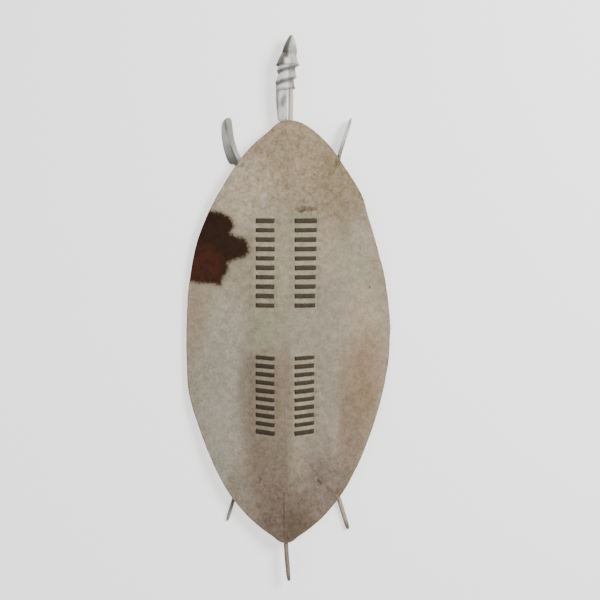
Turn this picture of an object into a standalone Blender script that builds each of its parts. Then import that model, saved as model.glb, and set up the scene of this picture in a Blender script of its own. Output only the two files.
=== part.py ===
"""A hide shield lying on its back: a pointed oval of cowhide, laced with hide strips to a wooden stick.

The stick runs down the back and out at both ends, with a strip of fur wound round its upper end.
Two short spears are crossed behind the hide and lashed to the stick, so their ends show past its edge.
Metres, +Z up. X runs across the shield and Y along it, towards the fur. The floor is at Z = 0.
"""

import math
from functools import partial

import bmesh
import bpy
from mathutils import Matrix, Vector

GAP = 0.0003  # air left between pieces that touch

# The sheet of hide.
HIDE_LENGTH = 1.000
HALF_WIDTH = 0.2425
HIDE_THICKNESS = 0.0035
RIM_Z = 0.012  # height of the edge at the widest place, at the middle of its thickness
BOW_POWER = 2.6
LOWER_RIDGE = 0.010  # how far the hide falls away from the stick at its bottom point
UPPER_RIDGE = 0.006
RIDGE_SPREAD = 0.050
HIDE_ROWS = 36
HIDE_COLUMNS = 7  # on each side of the stick

# Places along the hide are shares of its length, from the top point down.
LOWER_RIDGE_START_SHARE = 0.753
UPPER_RIDGE_END_SHARE = 0.192
LEAN = -0.0060  # how far the lower part of the hide leans to the left
LEAN_START_SHARE = 0.53
LEAN_END_SHARE = 0.65

# The hide is cut by eye, so its edge isn't even. Each pair is a place on the edge:
# the share of the length below the top point, and the share of HALF_WIDTH from the middle line.
TOP_POINT = ((0, 0),)
LEFT_EDGE = ((0.035, 0.235), (0.154, 0.635), (0.225, 0.792), (0.296, 0.903), (0.390, 0.973))
RIGHT_EDGE = ((0.035, 0.301), (0.106, 0.540), (0.177, 0.718), (0.225, 0.779), (0.366, 0.940))
RIGHT_WAIST = ((0.437, 0.986),)
WAIST = ((0.508, 1), (0.640, 0.953), (0.768, 0.788))
LOWER_EDGE = ((0.863, 0.606), (0.900, 0.503), (0.957, 0.285), (0.981, 0.149))
BOTTOM_POINT = ((1, 0),)

# The stick.
STICK_DIAMETER = 0.0115
STICK_FOOT_DIAMETER = 0.0105
STICK_BELOW = 0.090  # what shows past the bottom point of the hide
STICK_TOP_ASIDE = 0.0077  # how far it has leaned to the right at the tip of the fur
FOOT_KICK = 0.0083  # how far the natural bend carries the foot to the right
FOOT_BEND_LENGTH = 0.096

# The lacing strips, one for each rung. Each shows twice on the front and passes behind the stick.
STRIP_THICKNESS = 0.0020
UPPER_RUNGS = 10
UPPER_FIRST = 0.2381  # below the top point of the hide
UPPER_PITCH = 0.0222
UPPER_STRIP_WIDTH = 0.0104
UPPER_SAG = (0.0004, 0.0008)  # how far the inner ends are drawn down: first rung, last rung
UPPER_RIGHT_BAR = (0.0505, 0.0465)  # length of a bar on the front: first rung, last rung
LOWER_RUNGS = 10
LOWER_FIRST = 0.5605
LOWER_PITCH = 0.0194
LOWER_STRIP_WIDTH = 0.0098
LOWER_SAG = (0.0036, 0.0064)
LOWER_RIGHT_BAR = (0.0440, 0.0436)
LEFT_BAR = 0.0422
STRIP_WIDTH_SPREAD_SHARE = 0.08  # share by which one strip differs from the next
LEFT_INNER = 0.0338  # from the middle line to the first slit
RIGHT_INNER = 0.0160
STRIP_TAIL = 0.0200
SLIT_CLEARANCE = 0.0005

# The fur strip that is wound round the upper end of the stick.
CREST_ABOVE = 0.2035  # from the top point of the hide to the tip of the fur
HEAD_LENGTH = 0.0718
BUD_RADIUS = 0.0185
BUD_ROUND_LENGTH = 0.044
SKIRT_RADIUS = 0.0295
SKIRT_LEAN = 0.4  # how much fuller the skirt is at its left than at its right
WRAP_CORE_RADIUS = 0.0190
WRAP_EDGE_RADIUS = 0.0265
WRAP_PITCH = 0.0275
WRAP_TURNS = 2
WRAP_SHIFT = 0.0142  # how far the lowest turn hangs to the left of the stick
WRAP_FLATNESS_RATIO = 0.84  # height over width
WRAP_RING_STEP = 0.0050
WRAP_SIDES = 16
STICK_END_BELOW_TIP = 0.030
FUR_TAIL_WIDTH = 0.0297
FUR_TAIL_TAPER_SHARE = 0.2  # share of its width lost towards its end
FUR_TAIL_THICKNESS = 0.006
FUR_TAIL_LENGTH = 0.080
FUR_TAIL_FROM_STICK = 0.0008

# The two spears. Each is measured from where it crosses the stick, and is named after its blade's side.
CROSSING_BELOW_TOP = 0.4929
SHAFT_DIAMETER = 0.0092
SHAFT_NECK_DIAMETER = 0.0078
BUTT_LENGTH = 0.055  # the part of the shaft that keeps the butt's own diameter
BUTT_BLEND_LENGTH = 0.060
SHAFT_END_ROUNDING = 0.018
LEFT_SPEAR_ANGLE = 17.37  # degrees from the stick
LEFT_BLADE_ROOT = 0.4074  # from the crossing to the blade
LEFT_BLADE_LENGTH = 0.1143
LEFT_BLADE_WIDTH = 0.0360
LEFT_BLADE_ROLL = -22.0  # degrees that its right side is turned down
LEFT_BLADE_CANT = -5.6  # degrees that the blade is bent from its shaft, clockwise where it is below 0
LEFT_BLADE_BOW = -0.0097  # how far its middle bulges to the right, or to the left where it is below 0
LEFT_BUTT_REACH = 0.5000
LEFT_BUTT_DIAMETER = 0.0108
LEFT_BUTT_KICK = -0.0067  # how far the shaft's natural bow carries its end away from the stick
RIGHT_SPEAR_ANGLE = -16.43
RIGHT_BLADE_ROOT = 0.4243
RIGHT_BLADE_LENGTH = 0.0966
RIGHT_BLADE_WIDTH = 0.0330
RIGHT_BLADE_ROLL = 72.0
RIGHT_BLADE_CANT = -1.4
RIGHT_BLADE_BOW = -0.0010
RIGHT_BUTT_REACH = 0.4826
RIGHT_BUTT_DIAMETER = 0.0082
RIGHT_BUTT_KICK = 0.0103
BLADE_RIB = 0.0050
BLADE_SHOULDER = 0.016
BLADE_NARROWING_SHARE = 0.2  # share of its width lost towards its point
BLADE_BLUNTNESS_POWER = 14
SOCKET_LENGTH = 0.034
SOCKET_WALL = 0.0014
SHAFT_IN_SOCKET = 0.022

# The thong that lashes the spears to the stick.
LASHING_THICKNESS = 0.0020
LASHING_WIDTH = 0.014
LASHING_FLOOR_GAP = 0.0005
BULGE_FLAT = 0.020  # the hide rises over the thong: this far round it fully, and no more past the next
BULGE_END = 0.240

# Places along the shield, worked out from the sizes above.
TOTAL_LENGTH = STICK_BELOW + HIDE_LENGTH + CREST_ABOVE
FOOT_Y = -TOTAL_LENGTH / 2
TIP_Y = TOTAL_LENGTH / 2
HIDE_TOP_Y = TIP_Y - CREST_ABOVE
CROSSING_Y = HIDE_TOP_Y - CROSSING_BELOW_TOP
STICK_RADIUS = STICK_DIAMETER / 2


def clamp(value):
    return max(0.0, min(1.0, value))


def smooth(value):
    t = clamp(value)
    return t * t * (3 - 2 * t)


# Heights at the crossing: floor, thong, right spear, left spear, stick, thong and hide.
SHAFT_RADIUS = SHAFT_DIAMETER / 2
LASHING_INSIDE_Z = LASHING_FLOOR_GAP + LASHING_THICKNESS
RIGHT_SPEAR_Z = LASHING_INSIDE_Z + GAP + SHAFT_RADIUS
LEFT_SPEAR_Z = RIGHT_SPEAR_Z + SHAFT_DIAMETER + GAP
STICK_Z = LEFT_SPEAR_Z + SHAFT_RADIUS + GAP + STICK_RADIUS
CROWN_Z = STICK_Z + STICK_RADIUS + GAP + HIDE_THICKNESS / 2
BULGE = LASHING_THICKNESS + 2 * GAP


def below_top(y):
    """How far down the hide y is, as a share of its length."""
    return clamp((HIDE_TOP_Y - y) / HIDE_LENGTH)


def lean(y):
    """The middle line of the hide at y."""
    return LEAN * smooth((below_top(y) - LEAN_START_SHARE) / (LEAN_END_SHARE - LEAN_START_SHARE))


def half_width(y, side):
    """Half of the hide's width at y, by a smooth curve through the places on its edge.

    The curve runs through the squares of the widths, so that it closes roundly at both points.
    """
    upper = LEFT_EDGE if side < 0 else RIGHT_EDGE + RIGHT_WAIST
    places = TOP_POINT + upper + WAIST + LOWER_EDGE + BOTTOM_POINT
    below = below_top(y)
    last = len(places) - 1
    i = 0
    while i < last - 1 and below > places[i + 1][0]:
        i += 1

    def slope(k):
        a, b = places[max(0, k - 1)], places[min(last, k + 1)]
        return (b[1] ** 2 - a[1] ** 2) / (b[0] - a[0])

    span = places[i + 1][0] - places[i][0]
    t = (below - places[i][0]) / span
    square = (2 * t**3 - 3 * t**2 + 1) * places[i][1] ** 2 + (3 * t**2 - 2 * t**3) * places[i + 1][1] ** 2
    square += (t**3 - 2 * t**2 + t) * span * slope(i) + (t**3 - t**2) * span * slope(i + 1)
    return HALF_WIDTH * math.sqrt(max(0.0, square))


def hide_z(x, y):
    """Height of the middle of the hide's thickness."""
    bowed = RIM_Z + (CROWN_Z - RIM_Z) * (1 - abs(x / HALF_WIDTH) ** BOW_POWER)
    below = below_top(y)
    ridge = LOWER_RIDGE * smooth((below - LOWER_RIDGE_START_SHARE) / (1 - LOWER_RIDGE_START_SHARE))
    ridge += UPPER_RIDGE * smooth(1 - below / UPPER_RIDGE_END_SHARE)
    from_thong = math.hypot(x, y - CROSSING_Y)
    bulge = BULGE * smooth((BULGE_END - from_thong) / (BULGE_END - BULGE_FLAT))
    return bowed - ridge * (1 - math.exp(-((x / RIDGE_SPREAD) ** 2))) + bulge


def stick_x(y):
    """The stick's slight slant, and the natural bend near its foot."""
    bend = clamp((FOOT_Y + FOOT_BEND_LENGTH - y) / FOOT_BEND_LENGTH)
    slant = STICK_TOP_ASIDE / (TIP_Y - CROSSING_Y)
    return slant * (y - CROSSING_Y) + FOOT_KICK * bend**1.4


def material(name, colour, roughness, metallic=0.0):
    made = bpy.data.materials.new(name)
    made.use_nodes = True
    shader = made.node_tree.nodes["Principled BSDF"]
    shader.inputs["Base Color"].default_value = (*colour, 1.0)
    shader.inputs["Roughness"].default_value = roughness
    shader.inputs["Metallic"].default_value = metallic
    return made


def add_object(name, data, finish):
    made = bpy.data.objects.new(name, data)
    bpy.context.scene.collection.objects.link(made)
    data.materials.append(finish)
    return made


def mesh_from(points, faces):
    """A mesh with its doubled points merged and its faces turned outwards."""
    made = bmesh.new()
    verts = [made.verts.new(p) for p in points]
    for face in faces:
        made.faces.new([verts[i] for i in face])
    bmesh.ops.remove_doubles(made, verts=made.verts, dist=1e-7)
    bmesh.ops.recalc_face_normals(made, faces=made.faces)
    mesh = bpy.data.meshes.new("mesh")
    made.to_mesh(mesh)
    made.free()
    return mesh


def ring_mesh(rings):
    """A closed skin over equal rings of points; the first and last are filled with a fan."""
    count = len(rings[0])
    points = [p for ring in rings for p in ring]
    faces = []
    for r in range(len(rings) - 1):
        for k in range(count):
            a, b = r * count + k, r * count + (k + 1) % count
            faces.append((a, b, b + count, a + count))
    for start in (0, (len(rings) - 1) * count):
        ring = rings[start // count]
        points.append(sum((Vector(p) for p in ring), Vector()) / count)
        centre = len(points) - 1
        faces += [(start + k, start + (k + 1) % count, centre) for k in range(count)]
    return mesh_from_quads(points, faces)


def mesh_from_quads(points, faces):
    """mesh_from, for rings that may close to a point: faces with no area are dropped."""
    kept = []
    for face in faces:
        corners = []
        for i in face:
            if all((Vector(points[i]) - Vector(points[j])).length > 1e-7 for j in corners):
                corners.append(i)
        if len(corners) > 2:
            kept.append(corners)
    return mesh_from(points, kept)


def rod(name, path, radii, sides_resolution, finish):
    """A round stick along a path, as a curve with a bevel and flat ends."""
    curve = bpy.data.curves.new(name, "CURVE")
    curve.dimensions = "3D"
    curve.bevel_depth = 1.0
    curve.bevel_resolution = sides_resolution
    curve.use_fill_caps = True
    spline = curve.splines.new("POLY")
    spline.points.add(len(path) - 1)
    for point, place, radius in zip(spline.points, path, radii):
        point.co = (*place, 1.0)
        point.radius = radius
    return add_object(name, curve, finish)


def hide_skin_points(face_side):
    """Rows of points over one face of the hide, closer together towards the points and the stick."""
    points = []
    for i in range(HIDE_ROWS + 1):
        y = HIDE_TOP_Y - HIDE_LENGTH * (1 - math.cos(math.pi * i / HIDE_ROWS)) / 2
        for c in range(-HIDE_COLUMNS, HIDE_COLUMNS + 1):
            share = abs(c) / HIDE_COLUMNS
            across = half_width(y, c) * (0.45 * share + 0.55 * share**2)
            x = lean(y) + math.copysign(across, c)
            points.append((x, y, hide_z(x, y) + face_side * HIDE_THICKNESS / 2))
    return points


def make_hide(finish, cutter):
    """The sheet of hide: two skins with a rim between them, and its slits cut by a Boolean."""
    points = hide_skin_points(-1) + hide_skin_points(1)
    skin = len(points) // 2
    columns = 2 * HIDE_COLUMNS + 1
    faces = []
    for r in range(HIDE_ROWS):
        for c in range(columns - 1):
            a = r * columns + c
            lower = (a, a + 1, a + 1 + columns, a + columns)
            faces += [lower, tuple(i + skin for i in lower)]
        for a in (r * columns, (r + 1) * columns - 1):
            faces.append((a, a + columns, a + columns + skin, a + skin))
    made = add_object("hide", mesh_from_quads(points, faces), finish)
    cut = made.modifiers.new("slits", "BOOLEAN")
    cut.operation = "DIFFERENCE"
    cut.solver = "EXACT"
    cut.object = cutter
    return made


class Rung:
    """One lacing strip's places: where it passes through the hide, and how wide it is."""

    def __init__(self, y, width, sag, right_bar):
        self.y, self.width, self.sag = y, width, sag
        self.left_inner, self.right_inner = -LEFT_INNER, RIGHT_INNER
        self.left_outer = self.left_inner - LEFT_BAR
        self.right_outer = self.right_inner + right_bar

    def slits(self):
        return (self.left_outer, self.left_inner, self.right_inner, self.right_outer)

    def drop(self, x):
        """How far the strip is drawn down at x: not at its outer slits, fully between the inner ones."""
        left = (x - self.left_outer) / (self.left_inner - self.left_outer)
        right = (self.right_outer - x) / (self.right_outer - self.right_inner)
        return self.sag * min(clamp(left), clamp(right))


def rungs():
    """Every rung, named by its group and number from the top."""
    groups = (
        ("upper", UPPER_RUNGS, UPPER_FIRST, UPPER_PITCH, UPPER_STRIP_WIDTH, UPPER_SAG, UPPER_RIGHT_BAR),
        ("lower", LOWER_RUNGS, LOWER_FIRST, LOWER_PITCH, LOWER_STRIP_WIDTH, LOWER_SAG, LOWER_RIGHT_BAR),
    )
    for group, count, first, pitch, strip_width, sags, bars in groups:
        for i in range(count):
            share = i / max(1, count - 1)
            width = strip_width * (1 + STRIP_WIDTH_SPREAD_SHARE * math.sin(2.4 * i + 9 * first))
            sag, right_bar = (low + (high - low) * share for low, high in (sags, bars))
            yield f"lacing_{group}_{i + 1:02d}", Rung(HIDE_TOP_Y - first - i * pitch, width, sag, right_bar)


def tangent_from(x, z, centre_x, radius, side):
    """Angle, round the stick, where a line from a point at (x, z) touches a circle from below."""
    away = math.hypot(x - centre_x, z - STICK_Z)
    towards = math.atan2(z - STICK_Z, x - centre_x)
    return towards + side * math.acos(min(1.0, radius / away))


def strip_path(rung, y):
    """The strip's middle line in the X-Z plane at y, as (x, z) from its left tail to its right one."""
    half_hide, half_strip = HIDE_THICKNESS / 2, STRIP_THICKNESS / 2
    lift = half_hide + GAP + half_strip
    bend = half_strip

    def over(x):
        return (x, hide_z(x, y) + lift)

    def under(x):
        return (x, hide_z(x, y) - lift)

    def turned_in(x, direction):
        """Out of a slit at x on to the front, with its corner bent and not folded."""
        top = hide_z(x, y) + lift
        return [(x, top - bend), (x + direction * bend, hide_z(x + direction * bend, y) + lift)]

    radius, centre_x = STICK_RADIUS + GAP + half_strip, stick_x(y)
    left, right = under(rung.left_inner), under(rung.right_inner)
    start = tangent_from(*left, centre_x, radius, 1) % math.tau
    end = tangent_from(*right, centre_x, radius, -1) % math.tau
    turns = 5
    wrap = [start + (end - start) * k / turns for k in range(turns + 1)]
    round_stick = [(centre_x + radius * math.cos(a), STICK_Z + radius * math.sin(a)) for a in wrap]
    return [
        under(rung.left_outer - STRIP_TAIL),
        under(rung.left_outer),
        *turned_in(rung.left_outer, 1),
        over((rung.left_outer + rung.left_inner) / 2),
        *reversed(turned_in(rung.left_inner, -1)),
        left,
        *round_stick,
        right,
        *turned_in(rung.right_inner, 1),
        over((rung.right_inner + rung.right_outer) / 2),
        *reversed(turned_in(rung.right_outer, -1)),
        under(rung.right_outer),
        under(rung.right_outer + STRIP_TAIL),
    ]


def thick_line(path, thickness):
    """The two sides of a line that is given a thickness, with mitred corners."""
    points = [Vector(p) for p in path]
    sides = ([], [])
    for i, point in enumerate(points):
        before = (point - points[i - 1]).normalized() if i else None
        after = (points[i + 1] - point).normalized() if i < len(points) - 1 else None
        along = before or after
        if before and after:
            along = (before + after).normalized()
        normal = Vector((-along.y, along.x))
        reach = thickness / 2
        if before and after:
            reach /= max(0.5, along.dot(after))
        for side, sign in zip(sides, (-1, 1)):
            side.append(point + normal * reach * sign)
    return sides


def make_strip(name, rung, finish):
    """A lacing strip: a rectangle swept along its path, drawn down between its inner slits."""
    rings = []
    for edge in (-0.5, 0.5):
        y = rung.y + edge * rung.width
        rings.append(thick_line(strip_path(rung, y), STRIP_THICKNESS))
    count = len(rings[0][0])
    loops = []
    for i in range(count):
        loop = []
        for edge, side in ((0, 0), (1, 0), (1, 1), (0, 1)):
            x, z = rings[edge][side][i]
            loop.append((x, rung.y + (edge - 0.5) * rung.width - rung.drop(x), z))
        loops.append(loop)
    points = [p for loop in loops for p in loop]
    faces = [(0, 1, 2, 3), tuple(4 * (count - 1) + k for k in range(4))]
    for i in range(count - 1):
        for k in range(4):
            a, b = 4 * i + k, 4 * i + (k + 1) % 4
            faces.append((a, b, b + 4, a + 4))
    return add_object(name, mesh_from(points, faces), finish)


def make_slit_cutter(finish):
    """One box for each slit, all in one cutter object."""
    made = bmesh.new()
    for _, rung in rungs():
        for x in rung.slits():
            size = (
                STRIP_THICKNESS + 2 * SLIT_CLEARANCE,
                rung.width + 2 * SLIT_CLEARANCE + abs(rung.drop(x + GAP) - rung.drop(x - GAP)),
                HIDE_THICKNESS * 4,
            )
            place = Matrix.Translation((x, rung.y - rung.drop(x), hide_z(x, rung.y)))
            bmesh.ops.create_cube(made, size=1.0, matrix=place @ Matrix.Diagonal((*size, 1.0)))
    mesh = bpy.data.meshes.new("slits")
    made.to_mesh(mesh)
    made.free()
    cutter = add_object("slit_cutter", mesh, finish)
    cutter.hide_render = True
    cutter.display_type = "WIRE"
    return cutter


def make_stick(finish):
    """The stick from its flat-cut foot to its end inside the fur."""
    top = TIP_Y - STICK_END_BELOW_TIP
    steps = 16
    path, radii = [], []
    for i in range(steps + 1):
        y = FOOT_Y + (top - FOOT_Y) * i / steps
        path.append((stick_x(y), y, STICK_Z))
        radii.append((STICK_FOOT_DIAMETER + (STICK_DIAMETER - STICK_FOOT_DIAMETER) * smooth(i / 2)) / 2)
    return rod("stick", path, radii, 4, finish)


def wrap_radius(down, share):
    """Radius of the wound fur: a bud with a flared hem, then turns that flare to their lower edge.

    down is the distance below the tip, and share goes once round from the back, over the right first.
    """
    if down <= HEAD_LENGTH:
        bud = BUD_RADIUS * (1 - (1 - clamp(down / BUD_ROUND_LENGTH)) ** 2) ** 0.65
        hem = clamp((down - BUD_ROUND_LENGTH) / (HEAD_LENGTH - BUD_ROUND_LENGTH))
        fullness = hem ** (1 + SKIRT_LEAN * math.sin(math.tau * share))
        return bud + (SKIRT_RADIUS - BUD_RADIUS) * fullness
    turn = ((down - HEAD_LENGTH) / WRAP_PITCH - share) % 1.0
    return WRAP_CORE_RADIUS + (WRAP_EDGE_RADIUS - WRAP_CORE_RADIUS) * turn**1.5


def fur_ring(y, centre_x, radius_at, flatness):
    """One ring round the stick, starting at the back."""
    ring = []
    for k in range(WRAP_SIDES):
        angle = math.tau * k / WRAP_SIDES - math.pi / 2
        radius = radius_at(k / WRAP_SIDES)
        ring.append((centre_x + radius * math.cos(angle), y, STICK_Z + radius * flatness * math.sin(angle)))
    return ring


def make_fur(finish):
    """The wound fur strip, with a blind bore for the stick and its loose end hanging at the left."""
    length = HEAD_LENGTH + WRAP_TURNS * WRAP_PITCH
    steps = round(length / WRAP_RING_STEP)
    rings = [[(stick_x(TIP_Y), TIP_Y, STICK_Z)] * WRAP_SIDES]
    for i in range(1, steps + 1):
        down = length * i / steps
        centre_x = stick_x(TIP_Y - down) - WRAP_SHIFT * down / length
        radius_at = partial(wrap_radius, down)
        rings.append(fur_ring(TIP_Y - down, centre_x, radius_at, WRAP_FLATNESS_RATIO))
    for down in (length, STICK_END_BELOW_TIP - GAP):
        bore = STICK_RADIUS + 2 * GAP
        rings.append(fur_ring(TIP_Y - down, stick_x(TIP_Y - down), lambda share, r=bore: r, 1.0))
    made = add_object("fur_wrap", ring_mesh(rings), finish)
    join = made.modifiers.new("loose_end", "BOOLEAN")
    join.operation = "UNION"
    join.solver = "EXACT"
    join.object = make_fur_tail(TIP_Y - length, finish)
    return made


def make_fur_tail(wrap_end_y, finish):
    """The loose end of the fur strip: a flat tongue beside the stick, joined to the lowest turn."""
    rooted = WRAP_PITCH * 0.6
    sections = 5
    rings = []
    for i in range(sections + 1):
        share = i / sections
        y = wrap_end_y + rooted - (rooted + FUR_TAIL_LENGTH) * share
        right = stick_x(y) - STICK_RADIUS - FUR_TAIL_FROM_STICK
        width = FUR_TAIL_WIDTH * (1 - FUR_TAIL_TAPER_SHARE * share**2)
        half = FUR_TAIL_THICKNESS / 2
        rings.append([
            (right, y, STICK_Z - half / 2),
            (right, y, STICK_Z + half / 2),
            (right - width * 0.3, y, STICK_Z + half),
            (right - width, y, STICK_Z + half / 3),
            (right - width, y, STICK_Z - half / 3),
            (right - width * 0.3, y, STICK_Z - half),
        ])
    tail = add_object("fur_tail_guide", ring_mesh(rings), finish)
    tail.hide_render = True
    tail.display_type = "WIRE"
    return tail


class Spear:
    """Where one spear runs. Along it, places are measured from the crossing, towards its blade."""

    def __init__(self, angle, crossing_z, root, blade, butt):
        self.angle, self.crossing_z, self.root = math.radians(angle), crossing_z, root
        self.blade_length, self.blade_width, self.bow = blade[:3]
        self.roll, self.cant = (math.radians(turn) for turn in blade[3:])
        self.butt_reach, self.butt_diameter, self.kick = butt
        self.blade_z = self.blade_drop()

    def place(self, along):
        """A point on the spear's axis. The spear lies on the floor at its butt and on its blade's edge."""
        if along > 0:
            share = along / (self.root - SOCKET_LENGTH)
            z = self.crossing_z + (self.blade_z - self.crossing_z) * smooth(share)
            aside = 0.0
        else:
            share = -along / self.butt_reach
            z = self.crossing_z + (self.butt_diameter / 2 - self.crossing_z) * smooth(share)
            aside = self.kick * smooth(share)
        forward = Vector((-math.sin(self.angle), math.cos(self.angle), 0))
        outward = Vector((forward.y, -forward.x, 0)) * (1 if self.angle > 0 else -1)
        return Vector((0, CROSSING_Y, z)) + forward * along + outward * aside

    def radius(self, along):
        """The shaft tapers to its neck, has a thicker or thinner butt and is rounded off at the end."""
        taper = clamp(along / (self.root - SOCKET_LENGTH))
        from_end = along + self.butt_reach
        butt = smooth(1 - (from_end - BUTT_LENGTH) / BUTT_BLEND_LENGTH)
        diameter = SHAFT_DIAMETER + (SHAFT_NECK_DIAMETER - SHAFT_DIAMETER) * taper
        diameter += (self.butt_diameter - SHAFT_DIAMETER) * butt
        rounding = clamp(1 - from_end / SHAFT_END_ROUNDING)
        return diameter / 2 * (1 - 0.45 * rounding**2)

    def blade_frame(self, cant=0.0):
        """Turns (across, from the blade's root, thick) into the shield's axes."""
        turned = Matrix.Rotation(self.angle + cant, 4, "Z") @ Matrix.Rotation(self.roll, 4, "Y")
        return Matrix.Translation(self.place(self.root)) @ turned

    def blade_half_width(self, from_root):
        """Half the leaf's width: rounded shoulders, then narrowing a little to a blunt point."""
        shoulder = 1 - clamp(1 - from_root / BLADE_SHOULDER) ** 2.6
        share = clamp(from_root / self.blade_length)
        point = (1 - BLADE_NARROWING_SHARE * share) * math.sqrt(1 - share**BLADE_BLUNTNESS_POWER)
        return self.blade_width / 2 * math.sqrt(shoulder) * point

    def blade_aside(self, from_root):
        """How far the blade's bow carries its middle line across."""
        share = clamp(from_root / self.blade_length)
        return self.bow * 4 * share * (1 - share)

    def blade_drop(self):
        """How far the blade's lower edge lies below its root."""
        steps = 24
        stations = [self.blade_length * k / steps for k in range(steps + 1)]
        lower_side = math.copysign(1, self.roll)
        reaches = [self.blade_half_width(s) + lower_side * self.blade_aside(s) for s in stations]
        return max(reaches) * abs(math.sin(self.roll))


def make_shaft(name, spear, finish):
    """A whittled shaft from its butt to its end inside the socket."""
    start, end = -spear.butt_reach, spear.root - SOCKET_LENGTH + SHAFT_IN_SOCKET
    steps = 14
    stations = [start, start + SHAFT_END_ROUNDING / 2, start + SHAFT_END_ROUNDING]
    stations += [stations[-1] + (end - stations[-1]) * (i + 1) / steps for i in range(steps)]
    path = [spear.place(along) for along in stations]
    return rod(name, path, [spear.radius(along) for along in stations], 3, finish)


def make_blade(name, spear, finish):
    """A leaf blade with a middle rib, forged in one with the socket that the shaft fits."""
    sides = 12
    neck_radius = SHAFT_NECK_DIAMETER / 2 + 2 * GAP + SOCKET_WALL
    bore_radius = SHAFT_NECK_DIAMETER / 2 + 2 * GAP
    turns = [(math.cos(math.tau * k / sides), math.sin(math.tau * k / sides)) for k in range(sides)]

    def tube_ring(from_root, radius):
        return [Vector((radius * c, from_root, radius * s)) for c, s in turns]

    def leaf_ring(from_root, half, thick):
        middle = spear.blade_aside(from_root)
        return [
            Vector((middle + half * c, from_root, math.copysign(thick * (1 - abs(c)), s) if abs(s) > 0.1 else 0))
            for c, s in turns
        ]

    leaf_steps, shoulder_steps = 7, 4
    leaf_length = spear.blade_length - BLADE_SHOULDER
    stations = [spear.blade_length - leaf_length * (i / leaf_steps) ** 1.35 for i in range(leaf_steps)]
    stations += [BLADE_SHOULDER * (1 - i / shoulder_steps) for i in range(shoulder_steps)]
    rings = []
    for from_root in stations:
        share = from_root / spear.blade_length
        thick = BLADE_RIB / 2 * (0.6 + 0.4 * (1 - share)) if share < 1 else 0
        ring = leaf_ring(from_root, spear.blade_half_width(from_root), thick)
        rings.append([spear.blade_frame(spear.cant) @ p for p in ring])
    flat = leaf_ring(SOCKET_WALL, neck_radius, BLADE_RIB / 2)
    neck = [a.lerp(b, 0.6) for a, b in zip(flat, tube_ring(SOCKET_WALL, neck_radius))]
    bore_end = -SOCKET_LENGTH + SHAFT_IN_SOCKET + 2 * GAP
    socket = (
        neck,
        tube_ring(-SOCKET_LENGTH * 0.25, neck_radius),
        tube_ring(-SOCKET_LENGTH, neck_radius),
        tube_ring(-SOCKET_LENGTH, bore_radius),
        tube_ring(bore_end, bore_radius),
    )
    for ring in socket:
        rings.append([spear.blade_frame() @ p for p in ring])
    return add_object(name, ring_mesh(rings), finish)


def rounded_box(half_across, low, high, radius):
    """A rounded rectangle in the X-Z plane, as a list of (x, z)."""
    corner_steps = 4
    corners = (
        (half_across - radius, high - radius, 0),
        (radius - half_across, high - radius, 90),
        (radius - half_across, low + radius, 180),
        (half_across - radius, low + radius, 270),
    )
    made = []
    for x, z, turn in corners:
        for i in range(corner_steps + 1):
            angle = math.radians(turn + 90 * i / corner_steps)
            made.append((x + radius * math.cos(angle), z + radius * math.sin(angle)))
    return made


def make_lashing(finish):
    """A band of thong that passes round the stick and both spears where they cross."""
    slant = math.radians(max(abs(LEFT_SPEAR_ANGLE), abs(RIGHT_SPEAR_ANGLE)))
    across = max(SHAFT_RADIUS / math.cos(slant) + LASHING_WIDTH / 2 * math.tan(slant), STICK_RADIUS) + GAP
    low, high = LASHING_INSIDE_Z, STICK_Z + STICK_RADIUS + GAP
    corner = 0.6 * SHAFT_RADIUS
    inner = rounded_box(across, low, high, corner)
    wall = LASHING_THICKNESS
    outer = rounded_box(across + wall, low - wall, high + wall, corner + wall)
    count = len(inner)
    points = []
    for loop, y in ((outer, 0.5), (outer, -0.5), (inner, -0.5), (inner, 0.5)):
        points += [(x, CROSSING_Y + y * LASHING_WIDTH, z) for x, z in loop]
    faces = []
    for band in range(4):
        for k in range(count):
            a, b = band * count + k, band * count + (k + 1) % count
            after = (band + 1) % 4 * count
            faces.append((a, b, after + (k + 1) % count, after + k))
    return add_object("lashing", mesh_from(points, faces), finish)


def main():
    for old in list(bpy.data.objects):
        bpy.data.objects.remove(old)

    cowhide = material("cowhide", (0.37, 0.32, 0.26), 0.75)
    dark_hide = material("dark_hide", (0.075, 0.055, 0.038), 0.7)
    wood = material("peeled_wood", (0.33, 0.27, 0.20), 0.65)
    fur = material("pale_fur", (0.72, 0.70, 0.65), 0.9)
    steel = material("forged_steel", (0.42, 0.42, 0.40), 0.35, 1.0)
    thong = material("thong", (0.20, 0.15, 0.10), 0.8)

    make_hide(cowhide, make_slit_cutter(cowhide))
    for name, rung in rungs():
        make_strip(name, rung, dark_hide)
    make_stick(wood)
    make_fur(fur)
    left = Spear(
        LEFT_SPEAR_ANGLE,
        LEFT_SPEAR_Z,
        LEFT_BLADE_ROOT,
        (LEFT_BLADE_LENGTH, LEFT_BLADE_WIDTH, LEFT_BLADE_BOW, LEFT_BLADE_ROLL, LEFT_BLADE_CANT),
        (LEFT_BUTT_REACH, LEFT_BUTT_DIAMETER, LEFT_BUTT_KICK),
    )
    right = Spear(
        RIGHT_SPEAR_ANGLE,
        RIGHT_SPEAR_Z,
        RIGHT_BLADE_ROOT,
        (RIGHT_BLADE_LENGTH, RIGHT_BLADE_WIDTH, RIGHT_BLADE_BOW, RIGHT_BLADE_ROLL, RIGHT_BLADE_CANT),
        (RIGHT_BUTT_REACH, RIGHT_BUTT_DIAMETER, RIGHT_BUTT_KICK),
    )
    for side, spear in (("left", left), ("right", right)):
        make_shaft(f"spear_shaft_{side}", spear, wood)
        make_blade(f"spear_blade_{side}", spear, steel)
    make_lashing(thong)


main()
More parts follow.
